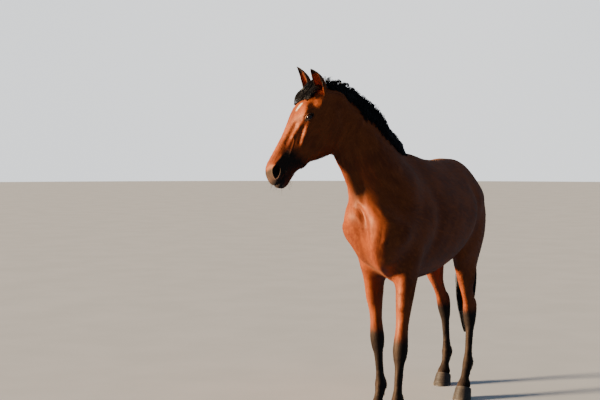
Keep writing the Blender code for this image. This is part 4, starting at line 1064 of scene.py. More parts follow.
def eye_finish():
    """Brown iris with fine spokes, a wide level pupil, a dark rim and brown beyond it."""
    made, paint, sockets = finish(
        "wet_eye", Roughness=0.06, IOR=1.40, Coat_Weight=0.6, Coat_Roughness=0.02
    )
    place = paint.kept("iris", "Vector")
    parts = paint.node("SeparateXYZ", {}, {"Vector": place}).socket.node.outputs
    along, up = Shade(paint.tree, parts["X"]), Shade(paint.tree, parts["Y"])
    out = paint.maths("SQRT", along * along + up * up)
    pupil = paint.maths("SQRT", along * along * PUPIL_ALONG + up * up * PUPIL_UP)
    turn = paint.maths("ARCTAN2", up, along)
    round_iris = {"W": turn * 9.0, "Detail": 4.0}
    spokes = paint.node("TexNoise", {"noise_dimensions": "1D"}, round_iris, "Fac")
    shown_eye = pupil.step(0.98, 1.12).blend(
        PUPIL_BLACK, spokes.step(0.35, 0.7).blend(IRIS_DARK, IRIS_BROWN)
    )
    shown_eye = out.step(0.60, 0.68).blend(shown_eye, IRIS_EDGE)
    shown_eye = out.step(0.84, 0.96).blend(shown_eye, BEYOND_IRIS)
    feed(paint, sockets["Base Color"], shown_eye)
    return made


eye_paint = eye_finish()
for side, word in ((1, "left"), (-1, "right")):
    on_horse("wet_eye_" + word, eye_mesh(side), eye_paint, "dark_eye", "eye_" + word)

# ------------------------------------------------------------------ the hooves
# A horn wall slopes like the pastern, ringed by its growth and worn at the ground, over a
# slightly hollow sole. It is made in rings from the sole up, round the end of the skin.
HOOF = {
    "fore": dict(toe=-0.662, heel=-0.514, top_toe=-0.606, top_heel=-0.494, width=0.066),
    "hind": dict(toe=0.590, heel=0.733, top_toe=0.645, top_heel=0.756, width=0.062),
}
CORONET_FRONT, CORONET_BACK = 0.092, 0.050
HOOF_TAPER, SOLE_HOLLOW = 0.17, 0.004
HOOF_FULLNESS = np.array([0.96, 1.0, 0.80])
# The rings' share of the height and how far in they lie: over the sole, and round the coronet.
SOLE_RINGS = ((0.0, 0.030), (0.0, 0.012), (0.0, 0.003), (0.02, 0.001), (0.05, 0.0))
CORONET_RINGS = ((0.985, 0.0008), (1.0, 0.0030), (1.0, 0.008), (0.97, 0.016))
HORN_DARK, HORN_BROWN = colour(0.022, 0.017, 0.014), colour(0.085, 0.064, 0.048)
HORN_RING, HORN_SCUFFED = colour(0.12, 0.095, 0.072), colour(0.20, 0.165, 0.12)
HORN_SOFT = colour(0.11, 0.085, 0.066)


def hoof_mesh(pair, side):
    """One hoof, with its share of the height kept at its points."""
    size = HOOF[pair]
    rings = []
    for u, inset in (*SOLE_RINGS, *((u, 0.0) for u in np.linspace(0.08, 0.96, 23)), *CORONET_RINGS):
        growth = 0.0005 * math.sin(u * 42) + 0.0003 * math.sin(u * 97 + 1)
        toe = size["toe"] + (size["top_toe"] - size["toe"]) * u + inset
        heel = size["heel"] + (size["top_heel"] - size["heel"]) * u - inset
        width = size["width"] * (1 - HOOF_TAPER * u) - inset - abs(growth)
        rise = 0.0 if rings else SOLE_HOLLOW
        front = (side * LEG_X, toe + abs(growth), CORONET_FRONT * u + rise)
        back = (side * LEG_X, heel - abs(growth), CORONET_BACK * u + rise)
        rings.append(ring(front, back, X_AXIS, HOOF_FULLNESS * width, 64))
    mesh = joined_lofts("hoof", [loft(rings)])
    points = read_points(mesh)
    keep_values(mesh, up_hoof=np.clip(points[:, 2] / CORONET_FRONT, 0, 1))
    write_points(mesh, posed(points))
    mesh.shade_smooth()
    return mesh


def horn_finish():
    """Dark horn: streaks run down it, growth rings round it, and the ground scuffs it pale."""
    made, paint, sockets = finish("hoof_horn_finish")
    place = paint.place()
    streaks = place.stretched((420, 420, 16)).noise(detail=3.0)
    rings = place.stretched((9, 9, 230)).noise()
    dirt = place.noise(38.0, detail=5.0)
    height = paint.kept("up_hoof")
    horn = streaks.step(0.35, 0.7).blend(HORN_DARK, HORN_BROWN)
    horn = (rings.step(0.5, 0.75) * 0.5).blend(horn, HORN_RING)
    scuffed = (1 - height.step(0.02, 0.35)) * dirt.step(0.4, 0.65)
    horn = (scuffed * 0.7).blend(horn, HORN_SCUFFED)
    horn = height.step(0.86, 0.99).blend(horn, HORN_SOFT)
    feed(paint, sockets["Base Color"], horn)
    feed(paint, sockets["Roughness"], 0.36 + 0.25 * dirt + 0.2 * scuffed)
    feed_bump(paint, sockets, streaks * 0.4 + rings * 0.8 + dirt * 0.3, 0.5, 0.001)
    return made


horn = horn_finish()
for pair in ("fore", "hind"):
    for side, word in ((1, "left"), (-1, "right")):
        name, node = f"{pair}_hoof_horn_{word}", f"{pair}_hoof_{word}"
        on_horse(name, hoof_mesh(pair, side), horn, "hoof_horn", node)

# ------------------------------------------------------------------ the short coat
# The coat is a close nap of hair that lies flat, back along the body and down the legs. Most of
# it is the skin's own grain. Small tapering tufts stand over it everywhere, longest under the
# belly and jaw, inside the ears and behind the fetlocks.
LUCK = np.random.default_rng(7)
UNWRAP_CELLS = {  # left, bottom, width and height on the flat unwrap of the skin
    "head": (0.03, 0.03, 0.28, 0.30),
    "neck": (0.36, 0.03, 0.28, 0.30),
    "ear": (0.69, 0.03, 0.28, 0.30),
    "trunk": (0.03, 0.38, 0.94, 0.32),
    "leg": (0.03, 0.75, 0.22, 0.22),
}
# The middle line of the fore and hind legs: heights, and how far back it lies at each.
LEG_MIDDLES = {
    -1: ((0.05, 0.25, 0.6, 1.0), (-0.55, -0.48, -0.49, -0.47)),
    1: ((0.05, 0.25, 0.6, 0.75, 1.1), (0.69, 0.78, 0.75, 0.66, 0.58)),
}


def unwrapped(points):
    """Where points of the skin lie when each region is slit below and rolled out flat."""
    x, y, z = points.T
    across, down, up = to_head(points).T
    flat = np.zeros((len(points), 2))

    def lay(chosen, cell, turn, along, shift=0.0):
        """The chosen points set in a cell, by how far they are turned and how far along."""
        left, bottom, width, height = UNWRAP_CELLS[cell]
        share = np.clip(np.column_stack([turn / (2 * math.pi) + 0.5, along]), 0, 1)[chosen]
        flat[chosen] = share * [width, height] + [left + shift, bottom]

    everywhere = np.ones(len(points), bool)
    lay(everywhere, "trunk", np.arctan2(x, z - 1.25), (y + 0.9) / 1.8)
    on_neck = (y < -0.30) & (z + y > 0.60)
    neck_out = 0.86 * (z - 1.55) + 0.5 * (y + 0.60)
    lay(on_neck, "neck", np.arctan2(x, neck_out), (z - 1.2) / 0.9)
    for number, (end, side) in enumerate(((-1, 1), (-1, -1), (1, 1), (1, -1))):
        middle_y = np.interp(z, *LEG_MIDDLES[end])
        on_leg = (z < 0.95) & (x * side > 0) & (y * end > 0)
        on_leg &= (np.abs(y - middle_y) < 0.24) & ((z < 0.84) | (end > 0))
        turn = np.arctan2(x - side * LEG_X, y - middle_y)
        lay(on_leg, "leg", turn, z, 0.24 * number)
    lay(is_head(points, -0.02), "head", np.arctan2(across, up + 0.15), (down + 0.05) / 0.70)
    for side in (1, -1):
        up_ear, off, out = by_ear(points, side)
        opens, across_ear = ear_axes(side)[2:]
        turn = np.arctan2(off @ across_ear, off @ opens)
        along = (up_ear / EAR_LENGTH[side] + (side < 0)) / 2.2
        lay((up_ear > 0.02) & (out < 0.05), "ear", turn, along)
    return flat


def triangles_mesh(name, points, triangles):
    """A mesh of many triangles, made in one go."""
    made = bpy.data.meshes.new(name)
    made.vertices.add(len(points))
    made.vertices.foreach_set("co", np.asarray(points, np.float32).ravel())
    made.loops.add(triangles.size)
    made.loops.foreach_set("vertex_index", triangles.astype(np.int32).ravel())
    made.polygons.add(len(triangles))
    made.polygons.foreach_set("loop_start", np.arange(0, triangles.size, 3, dtype=np.int32))
    made.update(calc_edges=True)
    made.shade_smooth()
    return made


PATCH_SIZE = 0.0014


def hair_piece(name, points, triangles, roots, each, paint, slot_name, lie=None, out=None):
    """Many like tufts as one piece. Each tuft's patch of the bake map sits at its own root.

    Short tufts carry on the grain of the skin below them, and catch the light as it does.
    """
    mesh = triangles_mesh(name, points, triangles)
    shares = {kind: np.repeat(v, each) for kind, v in zip(MARKINGS, markings(roots))}
    grain = np.repeat(grain_places(roots), each, axis=0)
    keep_values(mesh, **shares, grain=grain if lie is None else grain + lie)
    if out is not None:
        mesh.normals_split_custom_set_from_vertices(np.repeat(out, each, axis=0))
    turn = np.tile(np.linspace(0, 2 * math.pi, each, endpoint=False), len(roots))
    patch = np.column_stack([np.cos(turn), np.sin(turn)]) * PATCH_SIZE
    at = np.repeat(unwrapped(roots), each, axis=0) + patch
    layer = mesh.uv_layers.new(name="OFBake")
    layer.data.foreach_set("uv", at[triangles.ravel()].astype(np.float32).ravel())
    return on_horse(name, mesh, paint, slot_name)


skin_mesh.calc_loop_triangles()
corners = np.empty(len(skin_mesh.loop_triangles) * 3, np.int32)
skin_mesh.loop_triangles.foreach_get("vertices", corners)
corners = corners.reshape(-1, 3)
skin_points, skin_out = read_points(skin_mesh), read_normals(skin_mesh)
patch_middle = straight[corners].mean(axis=1)
patch_area = np.linalg.norm(
    np.cross(
        skin_points[corners[:, 1]] - skin_points[corners[:, 0]],
        skin_points[corners[:, 2]] - skin_points[corners[:, 0]],
    ),
    axis=1,
) / 2


# How far ahead the pose is looked up, to learn how it turns a way.
NUDGE = 0.002


def posed_ways(roots, ways):
    """Ways at points of the straight horse, as they lie in its pose."""
    return (posed(roots + ways * NUDGE) - posed(roots)) / NUDGE


def scattered(weights, count):
    """Random places on the skin: straight and posed points, their outward way and hair's way."""
    share = weights * patch_area
    chosen = LUCK.choice(len(share), size=count, p=share / share.sum())
    a, b = LUCK.random(count), LUCK.random(count)
    over = a + b > 1
    a[over], b[over] = 1 - a[over], 1 - b[over]
    mix = np.column_stack([1 - a - b, a, b])[:, :, None]
    roots = (straight[corners[chosen]] * mix).sum(axis=1)
    places = (skin_points[corners[chosen]] * mix).sum(axis=1)
    out = unit((skin_out[corners[chosen]] * mix).sum(axis=1))
    way = posed_ways(roots, lie_of_coat(roots))
    way = unit(way - out * (way * out).sum(axis=1)[:, None])
    return roots, places, out, way


# Each tuft: two root corners sunk into the skin, a ridge at this share of its length, and a tip.
ROOT_DEEP, RIDGE_AT = 0.0006, 0.38
TUFT_FACES = ((0, 2, 3), (2, 1, 3), (0, 1, 2), (0, 3, 1))


def tuft_points(places, out, way, length, width, lift):
    """Small closed tufts that lean along the coat: points, triangles and places in the grain."""
    side = np.cross(out, way)
    length, width, lift = (v[:, None] for v in (length, width, lift))
    base = places - out * ROOT_DEEP
    left, right = base + side * width, base - side * width
    ridge = places + way * length * RIDGE_AT + out * (0.0005 + lift * 0.7)
    tip = places + way * length + out * (0.0001 + lift)
    points = np.stack([left, right, ridge, tip], axis=1).reshape(-1, 3)
    first = (np.arange(len(places)) * 4)[:, None, None]
    none = 0 * length
    lie = [
        np.hstack([none, width, none]),
        np.hstack([none, -width, none]),
        np.hstack([length * RIDGE_AT, none, none]),
        np.hstack([length, none, none]),
    ]
    triangles = (first + np.array(TUFT_FACES)[None]).reshape(-1, 3)
    return points, triangles, np.stack(lie, axis=1).reshape(-1, 3)


def swayed(way, out, spread):
    """Ways over the skin, each turned a little at random."""
    turn = LUCK.normal(0, spread, len(way))[:, None]
    return way * np.cos(turn) + np.cross(out, way) * np.sin(turn)


tuft_coat = coat_finish("bay_tufts", 0.0004)
on_face = on_left_face(patch_middle)
head = is_head(patch_middle)
legs = (patch_middle[:, 2] < 0.80) & ~head
body = ~head & ~legs
behind_shoulder = patch_middle[:, 1] + 0.3 * (patch_middle[:, 2] - 1.3)
mouth = smooth_step((on_face[:, 1] - 0.40) / 0.12)
clear_of_eye = (eye_parts(on_face)[3] > 1.5) | (np.linalg.norm(on_face - EYE_PLACE, axis=1) > 0.05)
clear_of_hoof = patch_middle[:, 2] > 0.085
in_nostril = (nostril_edge(on_face) < 1.3) & (on_face[:, 1] > 0.5)
on_head_coat = head * clear_of_eye * ~in_nostril * (1 - 0.9 * mouth)
shoulders = (behind_shoulder >= -0.56) * (behind_shoulder < -0.06)
COATS = (  # name, where it grows, how many tufts, and how long, wide and high each is
    ("coat_head", on_head_coat, 46000, 0.0075, 0.0009, 0.0004),
    ("coat_legs", legs * clear_of_hoof, 40000, 0.0110, 0.0012, 0.0006),
    ("coat_neck", body * (behind_shoulder < -0.56), 46000, 0.0150, 0.0015, 0.0006),
    ("coat_shoulders", body * shoulders, 47000, 0.0150, 0.0015, 0.0006),
    ("coat_hindquarters", body * (behind_shoulder >= -0.06), 46000, 0.0170, 0.0018, 0.0007),
)
for name, weights, count, long, wide, high in COATS:
    roots, places, out, way = scattered(weights, count)
    way = swayed(way, out, 0.12)
    length = long * LUCK.uniform(0.6, 1.25, count)
    under = smooth_step((0.93 - roots[:, 2]) / 0.08) * (roots[:, 2] > 0.80)
    on_ears = is_head(roots, -0.3) * smooth_step((to_head(roots)[:, 2] - 0.005) / 0.02)
    length *= (1 + 0.5 * under) * (1 - 0.68 * on_ears)
    width = wide * LUCK.uniform(0.6, 1.2, count) * (1 - 0.4 * on_ears)
    lift = high * LUCK.uniform(0.2, 1.0, count) * (1 + 1.2 * under) * (1 - 0.6 * on_ears)
    points, triangles, lie = tuft_points(places, out, way, length, width, lift)
    hair_piece(name, points, triangles, roots, 4, tuft_coat, "bay_coat", lie, out)

# Longer hair: behind the fetlocks and cannons, over the coronets, under jaw and belly, in the ears.
fringes = []


def fringe(weights, count, long, wide, lift, droop):
    """Longer hairs that stand off the skin and bend towards the ground."""
    roots, places, out, way = scattered(weights, count)
    way = way + np.array([0, 0, -droop])
    way = unit(way - out * (way * out).sum(axis=1)[:, None] * 0.4)
    way = swayed(way, out, 0.22)
    length = long * LUCK.uniform(0.5, 1.2, count)
    width, rise = wide * LUCK.uniform(0.6, 1.1, count), lift * LUCK.uniform(0.3, 1.0, count)
    fringes.append((roots, *tuft_points(places, out, way, length, width, rise), out))


x, y, z = patch_middle.T
across, down, up = on_face.T
behind = (skin_out[corners].mean(axis=1)[:, 1] > 0.45) & legs
under_jaw = head & (up < -0.19) & (down > 0.10) & (down < 0.52) & (across < 0.05)
under_belly = (z < 0.90) & (y > -0.3) & (y < 0.45) & (np.abs(x) < 0.12)
fringe(behind & (z > 0.16) & (z < 0.26), 2600, 0.030, 0.0011, 0.010, 0.7)
fringe(behind & (z > 0.26) & (z < 0.50), 1800, 0.014, 0.0009, 0.003, 0.4)
fringe(legs & (z > 0.085) & (z < 0.112), 3600, 0.012, 0.0010, 0.003, 0.3)
fringe(under_jaw, 1500, 0.011, 0.0008, 0.003, 0.6)
fringe(under_belly, 1500, 0.020, 0.0011, 0.004, 0.3)
straight_out = straight_normals[corners].mean(axis=1)
for side in (1, -1):
    up_ear, off, out = by_ear(patch_middle, side)
    u = up_ear / EAR_LENGTH[side]
    faces_in = (straight_out * -off).sum(axis=1) > 0
    fringe(faces_in & (out < 0.034) & (u > 0.10) & (u < 0.82), 1300, 0.013, 0.0005, 0.003, -0.8)
roots, points, triangles, lie, out = ([made[k] for made in fringes] for k in range(5))
starts = np.cumsum([0] + [len(some) for some in points[:-1]])
triangles = np.vstack([some + start for some, start in zip(triangles, starts)])
roots, points, lie, out = (np.vstack(some) for some in (roots, points, lie, out))
hair_piece("coat_fringes", points, triangles, roots, 4, tuft_coat, "bay_coat", lie, out)

# ------------------------------------------------------------------ the mane
# Coarse black hair a hand long grows along the crest and falls to both sides in loose curls. It
# is a bed of close hair under many tapering locks, which gather into wavy clumps.
# How high it stands over the crest at shares of its length from the withers to the poll.
MANE_HEIGHTS = (
    (0.00, 0.018),
    (0.13, 0.040),
    (0.22, 0.052),
    (0.34, 0.045),
    (0.42, 0.044),
    (0.52, 0.070),
    (0.60, 0.072),
    (0.68, 0.066),
    (0.78, 0.041),
    (0.87, 0.050),
    (0.95, 0.036),
    (1.00, 0.026),
)
# On the sides it lies this thick at the withers and by so much more further on, and thins out.
MANE_THICK, MANE_THICKER, MANE_THIN_EDGE = 0.012, 0.020, 0.006
# How far it falls, and over which shares of the crest it fills out at the withers and the poll.
MANE_FALL = {1: 0.095, -1: 0.190}
FULL_FROM_WITHERS, FULL_FROM_POLL = 0.28, 0.10
MANE_SECTIONS, MANE_SKIPPED = 27, 3


def mane_place(along, share, side, height):
    """Points in the mane: along the crest, down one side, and how high between skin and top."""
    table = sections(NECK, MANE_SECTIONS)[MANE_SKIPPED:]
    row = curve_through(np.linspace(0, 1, len(table)), table, np.clip(along, 0, 1))
    crest = np.column_stack([0 * along, row[:, 0], row[:, 1]])
    throat = np.column_stack([0 * along, row[:, 2], row[:, 3]])
    length = np.linalg.norm(throat - crest, axis=1)
    full = smooth_step(along / FULL_FROM_WITHERS)
    full_below_poll = smooth_step((1 - along) / FULL_FROM_POLL)
    heights = np.array(MANE_HEIGHTS)
    stands = curve_through(heights[:, 0], heights[:, 1:], along)[:, 0]
    thick = MANE_THICK + MANE_THICKER * full
    fall = np.where(side > 0, MANE_FALL[1], MANE_FALL[-1]) * (0.34 + 0.66 * full)
    fall *= (0.60 + 0.40 * full_below_poll) * (0.90 + 0.10 * np.cos(along * 27 + side))
    end_angle = np.arccos(1 - 2 * np.minimum(fall / length, 0.95))

    def on_skin(share):
        """Points on the neck's side, at shares of the way down that the mane falls."""
        angle = end_angle * share
        depth = (1 - np.cos(angle)) / 2
        across = np.sin(angle) * width_at(depth, row[:, 4:7].T) * side
        return crest + (throat - crest) * depth[:, None] + across[:, None] * X_AXIS

    here = on_skin(share)
    run = on_skin(share + 0.02) - here
    out = unit(np.cross(run, np.cross(throat - crest, X_AXIS)) * -side[:, None])
    up = (crest - throat) / length[:, None]
    on_top = smooth_step(1 - share / 0.12)[:, None]
    out = unit(out + (up - out) * on_top)
    rise = stands + (thick - stands) * smooth_step(share / 0.45)
    rise = rise + (MANE_THIN_EDGE - rise) * smooth_step((share - 0.72) / 0.28)
    return here + out * (rise * height)[:, None], out


def lock_rings(paths, ways_out, width, depth):
    """Tapering three-sided locks along paths, closed at both ends."""
    count, steps = paths.shape[:2]
    ahead = unit(np.gradient(paths, axis=1))
    side = unit(np.cross(ahead, ways_out))
    up = np.cross(side, ahead)
    left = paths + side * width[:, :, None] - up * depth[:, :, None] * 0.4
    right = paths - side * width[:, :, None] - up * depth[:, :, None] * 0.4
    top = paths + up * depth[:, :, None]
    points = np.stack([left, top, right], axis=2).reshape(-1, 3)
    faces = []
    for k in range(steps - 1):
        for a, b in ((0, 1), (1, 2), (2, 0)):
            here, then = 3 * k, 3 * (k + 1)
            faces += [(here + a, here + b, then + b), (here + a, then + b, then + a)]
    end = 3 * (steps - 1)
    faces += [(0, 2, 1), (end, end + 1, end + 2)]
    first = (np.arange(count) * 3 * steps)[:, None, None]
    return points, (first + np.array(faces)[None]).reshape(-1, 3)


HAIR_BLACK, HAIR_GREY = colour(0.0045, 0.004, 0.0042), colour(0.018, 0.014, 0.013)
HAIR_BROWN = colour(0.045, 0.026, 0.018)


def hair_finish(name, sheen):
    """Black horse hair: a little brown where it is thin, with a long blue-grey gloss."""
    made, paint, sockets = finish(
        name, Sheen_Weight=sheen, Sheen_Roughness=0.3, Specular_IOR_Level=0.30
    )
    strands = paint.kept("grain", "Vector").noise(900.0)
    tone = paint.place().noise(260.0, detail=3.0)
    hair = strands.step(0.35, 0.70).blend(HAIR_BLACK, HAIR_GREY)
    hair = (tone.step(0.62, 0.80) * 0.5).blend(hair, HAIR_BROWN)
    feed(paint, sockets["Base Color"], hair)
    feed(paint, sockets["Roughness"], 0.30 + 0.22 * strands)
    feed_bump(paint, sockets, tone, 0.4, 0.0006)
    return made


black_hair = hair_finish("black_long_hair", 0.06)


def lock_piece(name, paths, ways_out, width, depth, roots, node=None, place=posed):
    """Locks, set in place on the horse, as one piece that stands for a node of hair."""
    count, steps = paths.shape[:2]
    flat = paths.reshape(-1, 3)
    out = ways_out.reshape(-1, 3)
    away = place(flat + out * NUDGE) - place(flat)
    points, triangles = lock_rings(
        place(flat).reshape(count, steps, 3), away.reshape(count, steps, 3), width, depth
    )
    made = hair_piece(name, points, triangles, roots, 3 * steps, black_hair, "black_hair")
    if node:
        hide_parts(node)
    return made


# How thick a lock is for its width, hanging in the mane or wound up in a curl.
LOCK_THICK, CURL_THICK, CURL_WIDE = 0.55, 0.7, 0.0012


def tapering(t, thinner, swells):
    """Shares of the width along locks, which swell from the root and thin towards the tip."""
    return (1 - thinner * smooth_step((t - 0.4) / 0.6)) * (0.6 + 0.4 * smooth_step(t / swells))


def hanging_clumps(side, clumps, each, steps, reach, wide):
    """Paths of locks that rise from the crest, fall down one side and wave in clumps."""
    clump = np.repeat(np.arange(clumps), each)
    count = clumps * each
    luck = LUCK.random((clumps, 6))[clump]
    along = ((clump + 0.5 + 0.5 * (luck[:, 0] - 0.5)) / clumps)[:, None]
    t = np.linspace(0, 1, steps) ** 1.4 * LUCK.uniform(0.78, 1.0, count)[:, None]
    share = 0.02 + (reach * (0.86 + 0.14 * luck[:, 1:2]) - 0.02) * t
    swing = 2 * math.pi * ((0.9 + 0.6 * luck[:, 2:3]) * t + 0.35 * luck[:, 3:4]) + 30 * along
    loose = smooth_step(t / 0.3)
    drift = (0.007 + 0.009 * luck[:, 4:5]) * np.sin(swing) * loose + 0.03 * (luck[:, 5:] - 0.5) * t
    lift = (0.58 + 0.16 * np.cos(swing) * loose) * smooth_step(t / 0.24)
    turn = LUCK.uniform(0, 2 * math.pi, count)[:, None] + 2.6 * t
    out = np.sqrt(LUCK.random(count))[:, None]
    out = out * (0.6 + 0.4 * smooth_step(t / 0.25)) * (1 - 0.65 * smooth_step((t - 0.6) / 0.4))
    drift = drift + out * np.cos(turn) * 1.15 / clumps
    height = np.clip(lift + 0.26 * out * np.sin(turn) * smooth_step(t / 0.24), 0.03, 0.96)
    places = np.broadcast_arrays(along + drift, share, np.full((1, 1), float(side)), height)
    points, ways_out = mane_place(*(v.ravel() for v in places))
    width = wide * LUCK.uniform(0.6, 1.2, count)[:, None] * tapering(t, 0.75, 0.15)
    paths = points.reshape(count, steps, 3)
    return paths, ways_out.reshape(count, steps, 3), width, width * LOCK_THICK, paths[:, 0]


def standing_curls(curls, each, steps, begins, ends, sizes, turns, loose):
    """Paths of short locks that stand on the crest, each clump wound into a ring."""
    clump = np.repeat(np.arange(curls), each)
    count = curls * each
    luck = LUCK.random((curls, 6))[clump]
    along = begins + (ends - begins) * (clump + luck[:, 5]) / curls
    side = np.where(luck[:, 0] < 0.5, 1.0, -1.0)
    off_crest, deep = 0.10 * luck[:, 1], np.full(count, 0.2)
    root, up = mane_place(along, off_crest, side, deep)
    ahead = unit(mane_place(along + 0.01, off_crest, side, deep)[0] - root)
    lean = (luck[:, 2:3] - 0.5) * 1.7
    way = ahead * np.cos(lean) + X_AXIS * np.sin(lean)
    t = np.linspace(0, 1, steps) * LUCK.uniform(0.75, 1.0, count)[:, None]
    size = (sizes[0] + (sizes[1] - sizes[0]) * luck[:, 3:4]) * (1 - 0.55 * t * luck[:, 1:2])
    turn = -math.pi / 2 + 2 * math.pi * (turns[0] + (turns[1] - turns[0]) * luck[:, 4:5]) * t
    rise = 0.003 + 0.015 * luck[:, 5:] * smooth_step(t * 2)
    spread = LUCK.normal(0, loose, (count, 3))[:, None, :] * (0.7 + 0.5 * t)[:, :, None]
    paths = (
        root[:, None, :] + up[:, None, :] * (rise + size + size * np.sin(turn))[:, :, None]
        + way[:, None, :] * (size * np.cos(turn))[:, :, None] + spread
    )
    ways_out = np.repeat(np.cross(way, up)[:, None, :], steps, axis=1)
    width = CURL_WIDE * (1 - 0.7 * t) * LUCK.uniform(0.7, 1.2, count)[:, None]
    return paths, ways_out, width, width * CURL_THICK, paths[:, 0]


def core_piece(name, rings, grain, place=posed):
    """A closed core of rings that keeps the hair dense under its locks."""
    mesh = joined_lofts(name, [loft(rings)])
    points = read_points(mesh)
    keep_values(mesh, grain=grain(points))
    write_points(mesh, place(points))
    mesh.shade_smooth()
    on_horse(name, mesh, black_hair, "black_hair")


bed_rings = []
ones = np.ones(16)
for along in np.linspace(0.0, 1.0, 90):
    outline = []
    for side in (1.0, -1.0):
        share = np.linspace(0, 0.80 + 0.06 * math.sin(along * 61 + side), 16)
        ripple = (0.45 + 0.04 * np.sin(along * 75 + share * 9 * side)) * (1 - 0.5 * share**2)
        outline.append(mane_place(along * ones, share, side * ones, ones * ripple)[0])
    under = [mane_place(along * ones, share, s * ones, ones * -0.35)[0] for s in (1.0, -1.0)]
    round_bed = [outline[0][::-1], outline[1][1:], under[1][::-1][:-1], under[0][1:]]
    bed_rings.append(np.vstack(round_bed))
core_piece("mane_bed", bed_rings, lambda points: grain_places(points) * [1, 0.3, 0.3])
# Side, clumps, locks in each, steps, how far down the neck they reach, and their half-width.
MANE_LOCKS = {
    "mane_locks_left": (1, 34, 38, 13, 1.04, 0.0020),
    "mane_locks_right": (-1, 38, 40, 14, 1.04, 0.0021),
    "mane_top_left": (1, 26, 26, 10, 0.58, 0.0019),
    "mane_top_right": (-1, 26, 26, 10, 0.58, 0.0019),
}
for name, layout in MANE_LOCKS.items():
    lock_piece(name, *hanging_clumps(*layout), "mane")
# Curls, locks in each, steps, where along the crest, the rings' sizes and turns, and the spread.
CURLS = {
    "crest_curls": (15, 28, 13, 0.74, 0.96, (0.008, 0.013), (0.6, 1.2), 0.0040),
    "poll_curls": (6, 9, 14, 0.95, 1.00, (0.015, 0.024), (0.4, 0.7), 0.0036),
}
for name, layout in CURLS.items():
    lock_piece(name, *standing_curls(*layout))

# ------------------------------------------------------------------ the forelock
# The mane's front end comes forward between the ears and blows across the star in loose wisps.
# Three oval bundles of black locks, each over a close core, lie over one another.
# Locks in each bundle, and from root to tip its middle on the face and its half-sizes.
FORELOCK = {
    "forelock_locks": (950, (
        (0.000, -0.030, -0.050, 0.018, 0.022),
        (-0.004, 0.000, -0.022, 0.026, 0.030),
        (-0.012, 0.040, -0.002, 0.034, 0.032),
        (-0.024, 0.080, 0.010, 0.046, 0.028),
        (-0.038, 0.115, 0.014, 0.048, 0.022),
        (-0.050, 0.142, 0.012, 0.036, 0.016),
        (-0.058, 0.162, 0.010, 0.014, 0.008),
    )),
    "forelock_middle_locks": (420, (
        (0.002, -0.030, -0.050, 0.016, 0.020),
        (0.006, 0.002, -0.030, 0.022, 0.026),
        (0.010, 0.042, -0.014, 0.028, 0.022),
        (0.013, 0.080, -0.003, 0.028, 0.016),
        (0.012, 0.112, 0.003, 0.024, 0.010),
        (0.008, 0.142, 0.004, 0.010, 0.005),
    )),
    "forelock_near_locks": (620, (
        (0.006, -0.030, -0.052, 0.018, 0.022),
        (0.018, 0.002, -0.040, 0.024, 0.028),
        (0.032, 0.042, -0.022, 0.030, 0.026),
        (0.044, 0.078, -0.008, 0.030, 0.018),
        (0.050, 0.106, -0.001, 0.024, 0.011),
        (0.050, 0.130, 0.000, 0.010, 0.006),
    )),
}
# Which shares of a bundle its core fills and its locks keep within.
CORE_SHARE, WITHIN = 0.62, 0.94


def bundle(table, knots, count, steps, start, long, wide, curl, to_space):
    """Locks that run inside a tapering oval bundle, from its table of middle and half-sizes.

    start and long are the ranges of where locks begin and how far they run, as shares of it.
    """
    table = np.array(table, float)
    turn = LUCK.uniform(0, 2 * math.pi, count)
    out = np.sqrt(LUCK.uniform(0.25, 1.0, count))
    begin = start[0] + (start[1] - start[0]) * LUCK.random(count)
    finish_at = np.clip(begin + long[0] + (long[1] - long[0]) * LUCK.random(count), 0.1, 1.0)
    t = np.linspace(0, 1, steps)[None, :]
    u = begin[:, None] + (finish_at - begin)[:, None] * t
    rows = curve_through(knots, table, u.ravel() * knots[-1])
    middle = to_space(rows[:, :3])
    ahead, behind = (
        to_space(curve_through(knots, table, (u.ravel() + step) * knots[-1])[:, :3])
        for step in (0.01, -0.01)
    )
    way = unit(ahead - behind)
    side = unit(X_AXIS - way * (way @ X_AXIS)[:, None])
    up = np.cross(side, way)
    wobble = turn[:, None] + 0.5 * np.sin(5 * t + turn[:, None] * 3)
    spread = out[:, None] * 0.92
    wave = curl * np.sin(2 * math.pi * 2.2 * u + turn[:, None] + 4 * out[:, None])
    a = (np.cos(wobble) * spread + wave).ravel() * rows[:, 3]
    b = (np.sin(wobble) * spread + 0.6 * np.roll(wave, 1, axis=1)).ravel() * rows[:, 4]
    size = np.maximum(np.hypot(a / rows[:, 3], b / rows[:, 4]), 1)
    a, b = a / size * WITHIN, b / size * WITHIN
    points = middle + side * a[:, None] + up * b[:, None]
    away = side * a[:, None] + up * b[:, None] + up * 1e-5
    width = wide * LUCK.uniform(0.6, 1.2, count)[:, None] * tapering(t, 0.82, 0.1)
    shape = (count, steps, 3)
    paths = points.reshape(shape)
    return paths, away.reshape(shape), width, width * LOCK_THICK, paths[:, 0]


for name, (count, table) in FORELOCK.items():
    knots = np.arange(len(table)).astype(float)
    lock_piece(
        name,
        *bundle(table, knots, count, 11, (0.0, 0.4), (0.25, 0.78), 0.0015, 0.20, on_head),
        "forelock",
    )
    core_rings = []
    for u in np.linspace(0.03, 0.82, 30):
        row, ahead = curve_through(knots, np.array(table), [u * knots[-1], (u + 0.02) * knots[-1]])
        middle = on_head(row[:3])
        up = unit(np.cross(X_AXIS, on_head(ahead[:3]) - middle))
        size = CORE_SHARE * (1 - 0.8 * float(smooth_step((u - 0.56) / 0.26)))
        turn = np.linspace(0, 2 * math.pi, 24, endpoint=False)
        across_core, up_core = np.cos(turn) * row[3] * size, np.sin(turn) * row[4] * size
        core_rings.append(middle + np.outer(across_core, X_AXIS) + np.outer(up_core, up))
    core_name = name.replace("locks", "core")
    core_piece(core_name, core_rings, lambda points: grain_places(points) * [0.1, 1, 1])

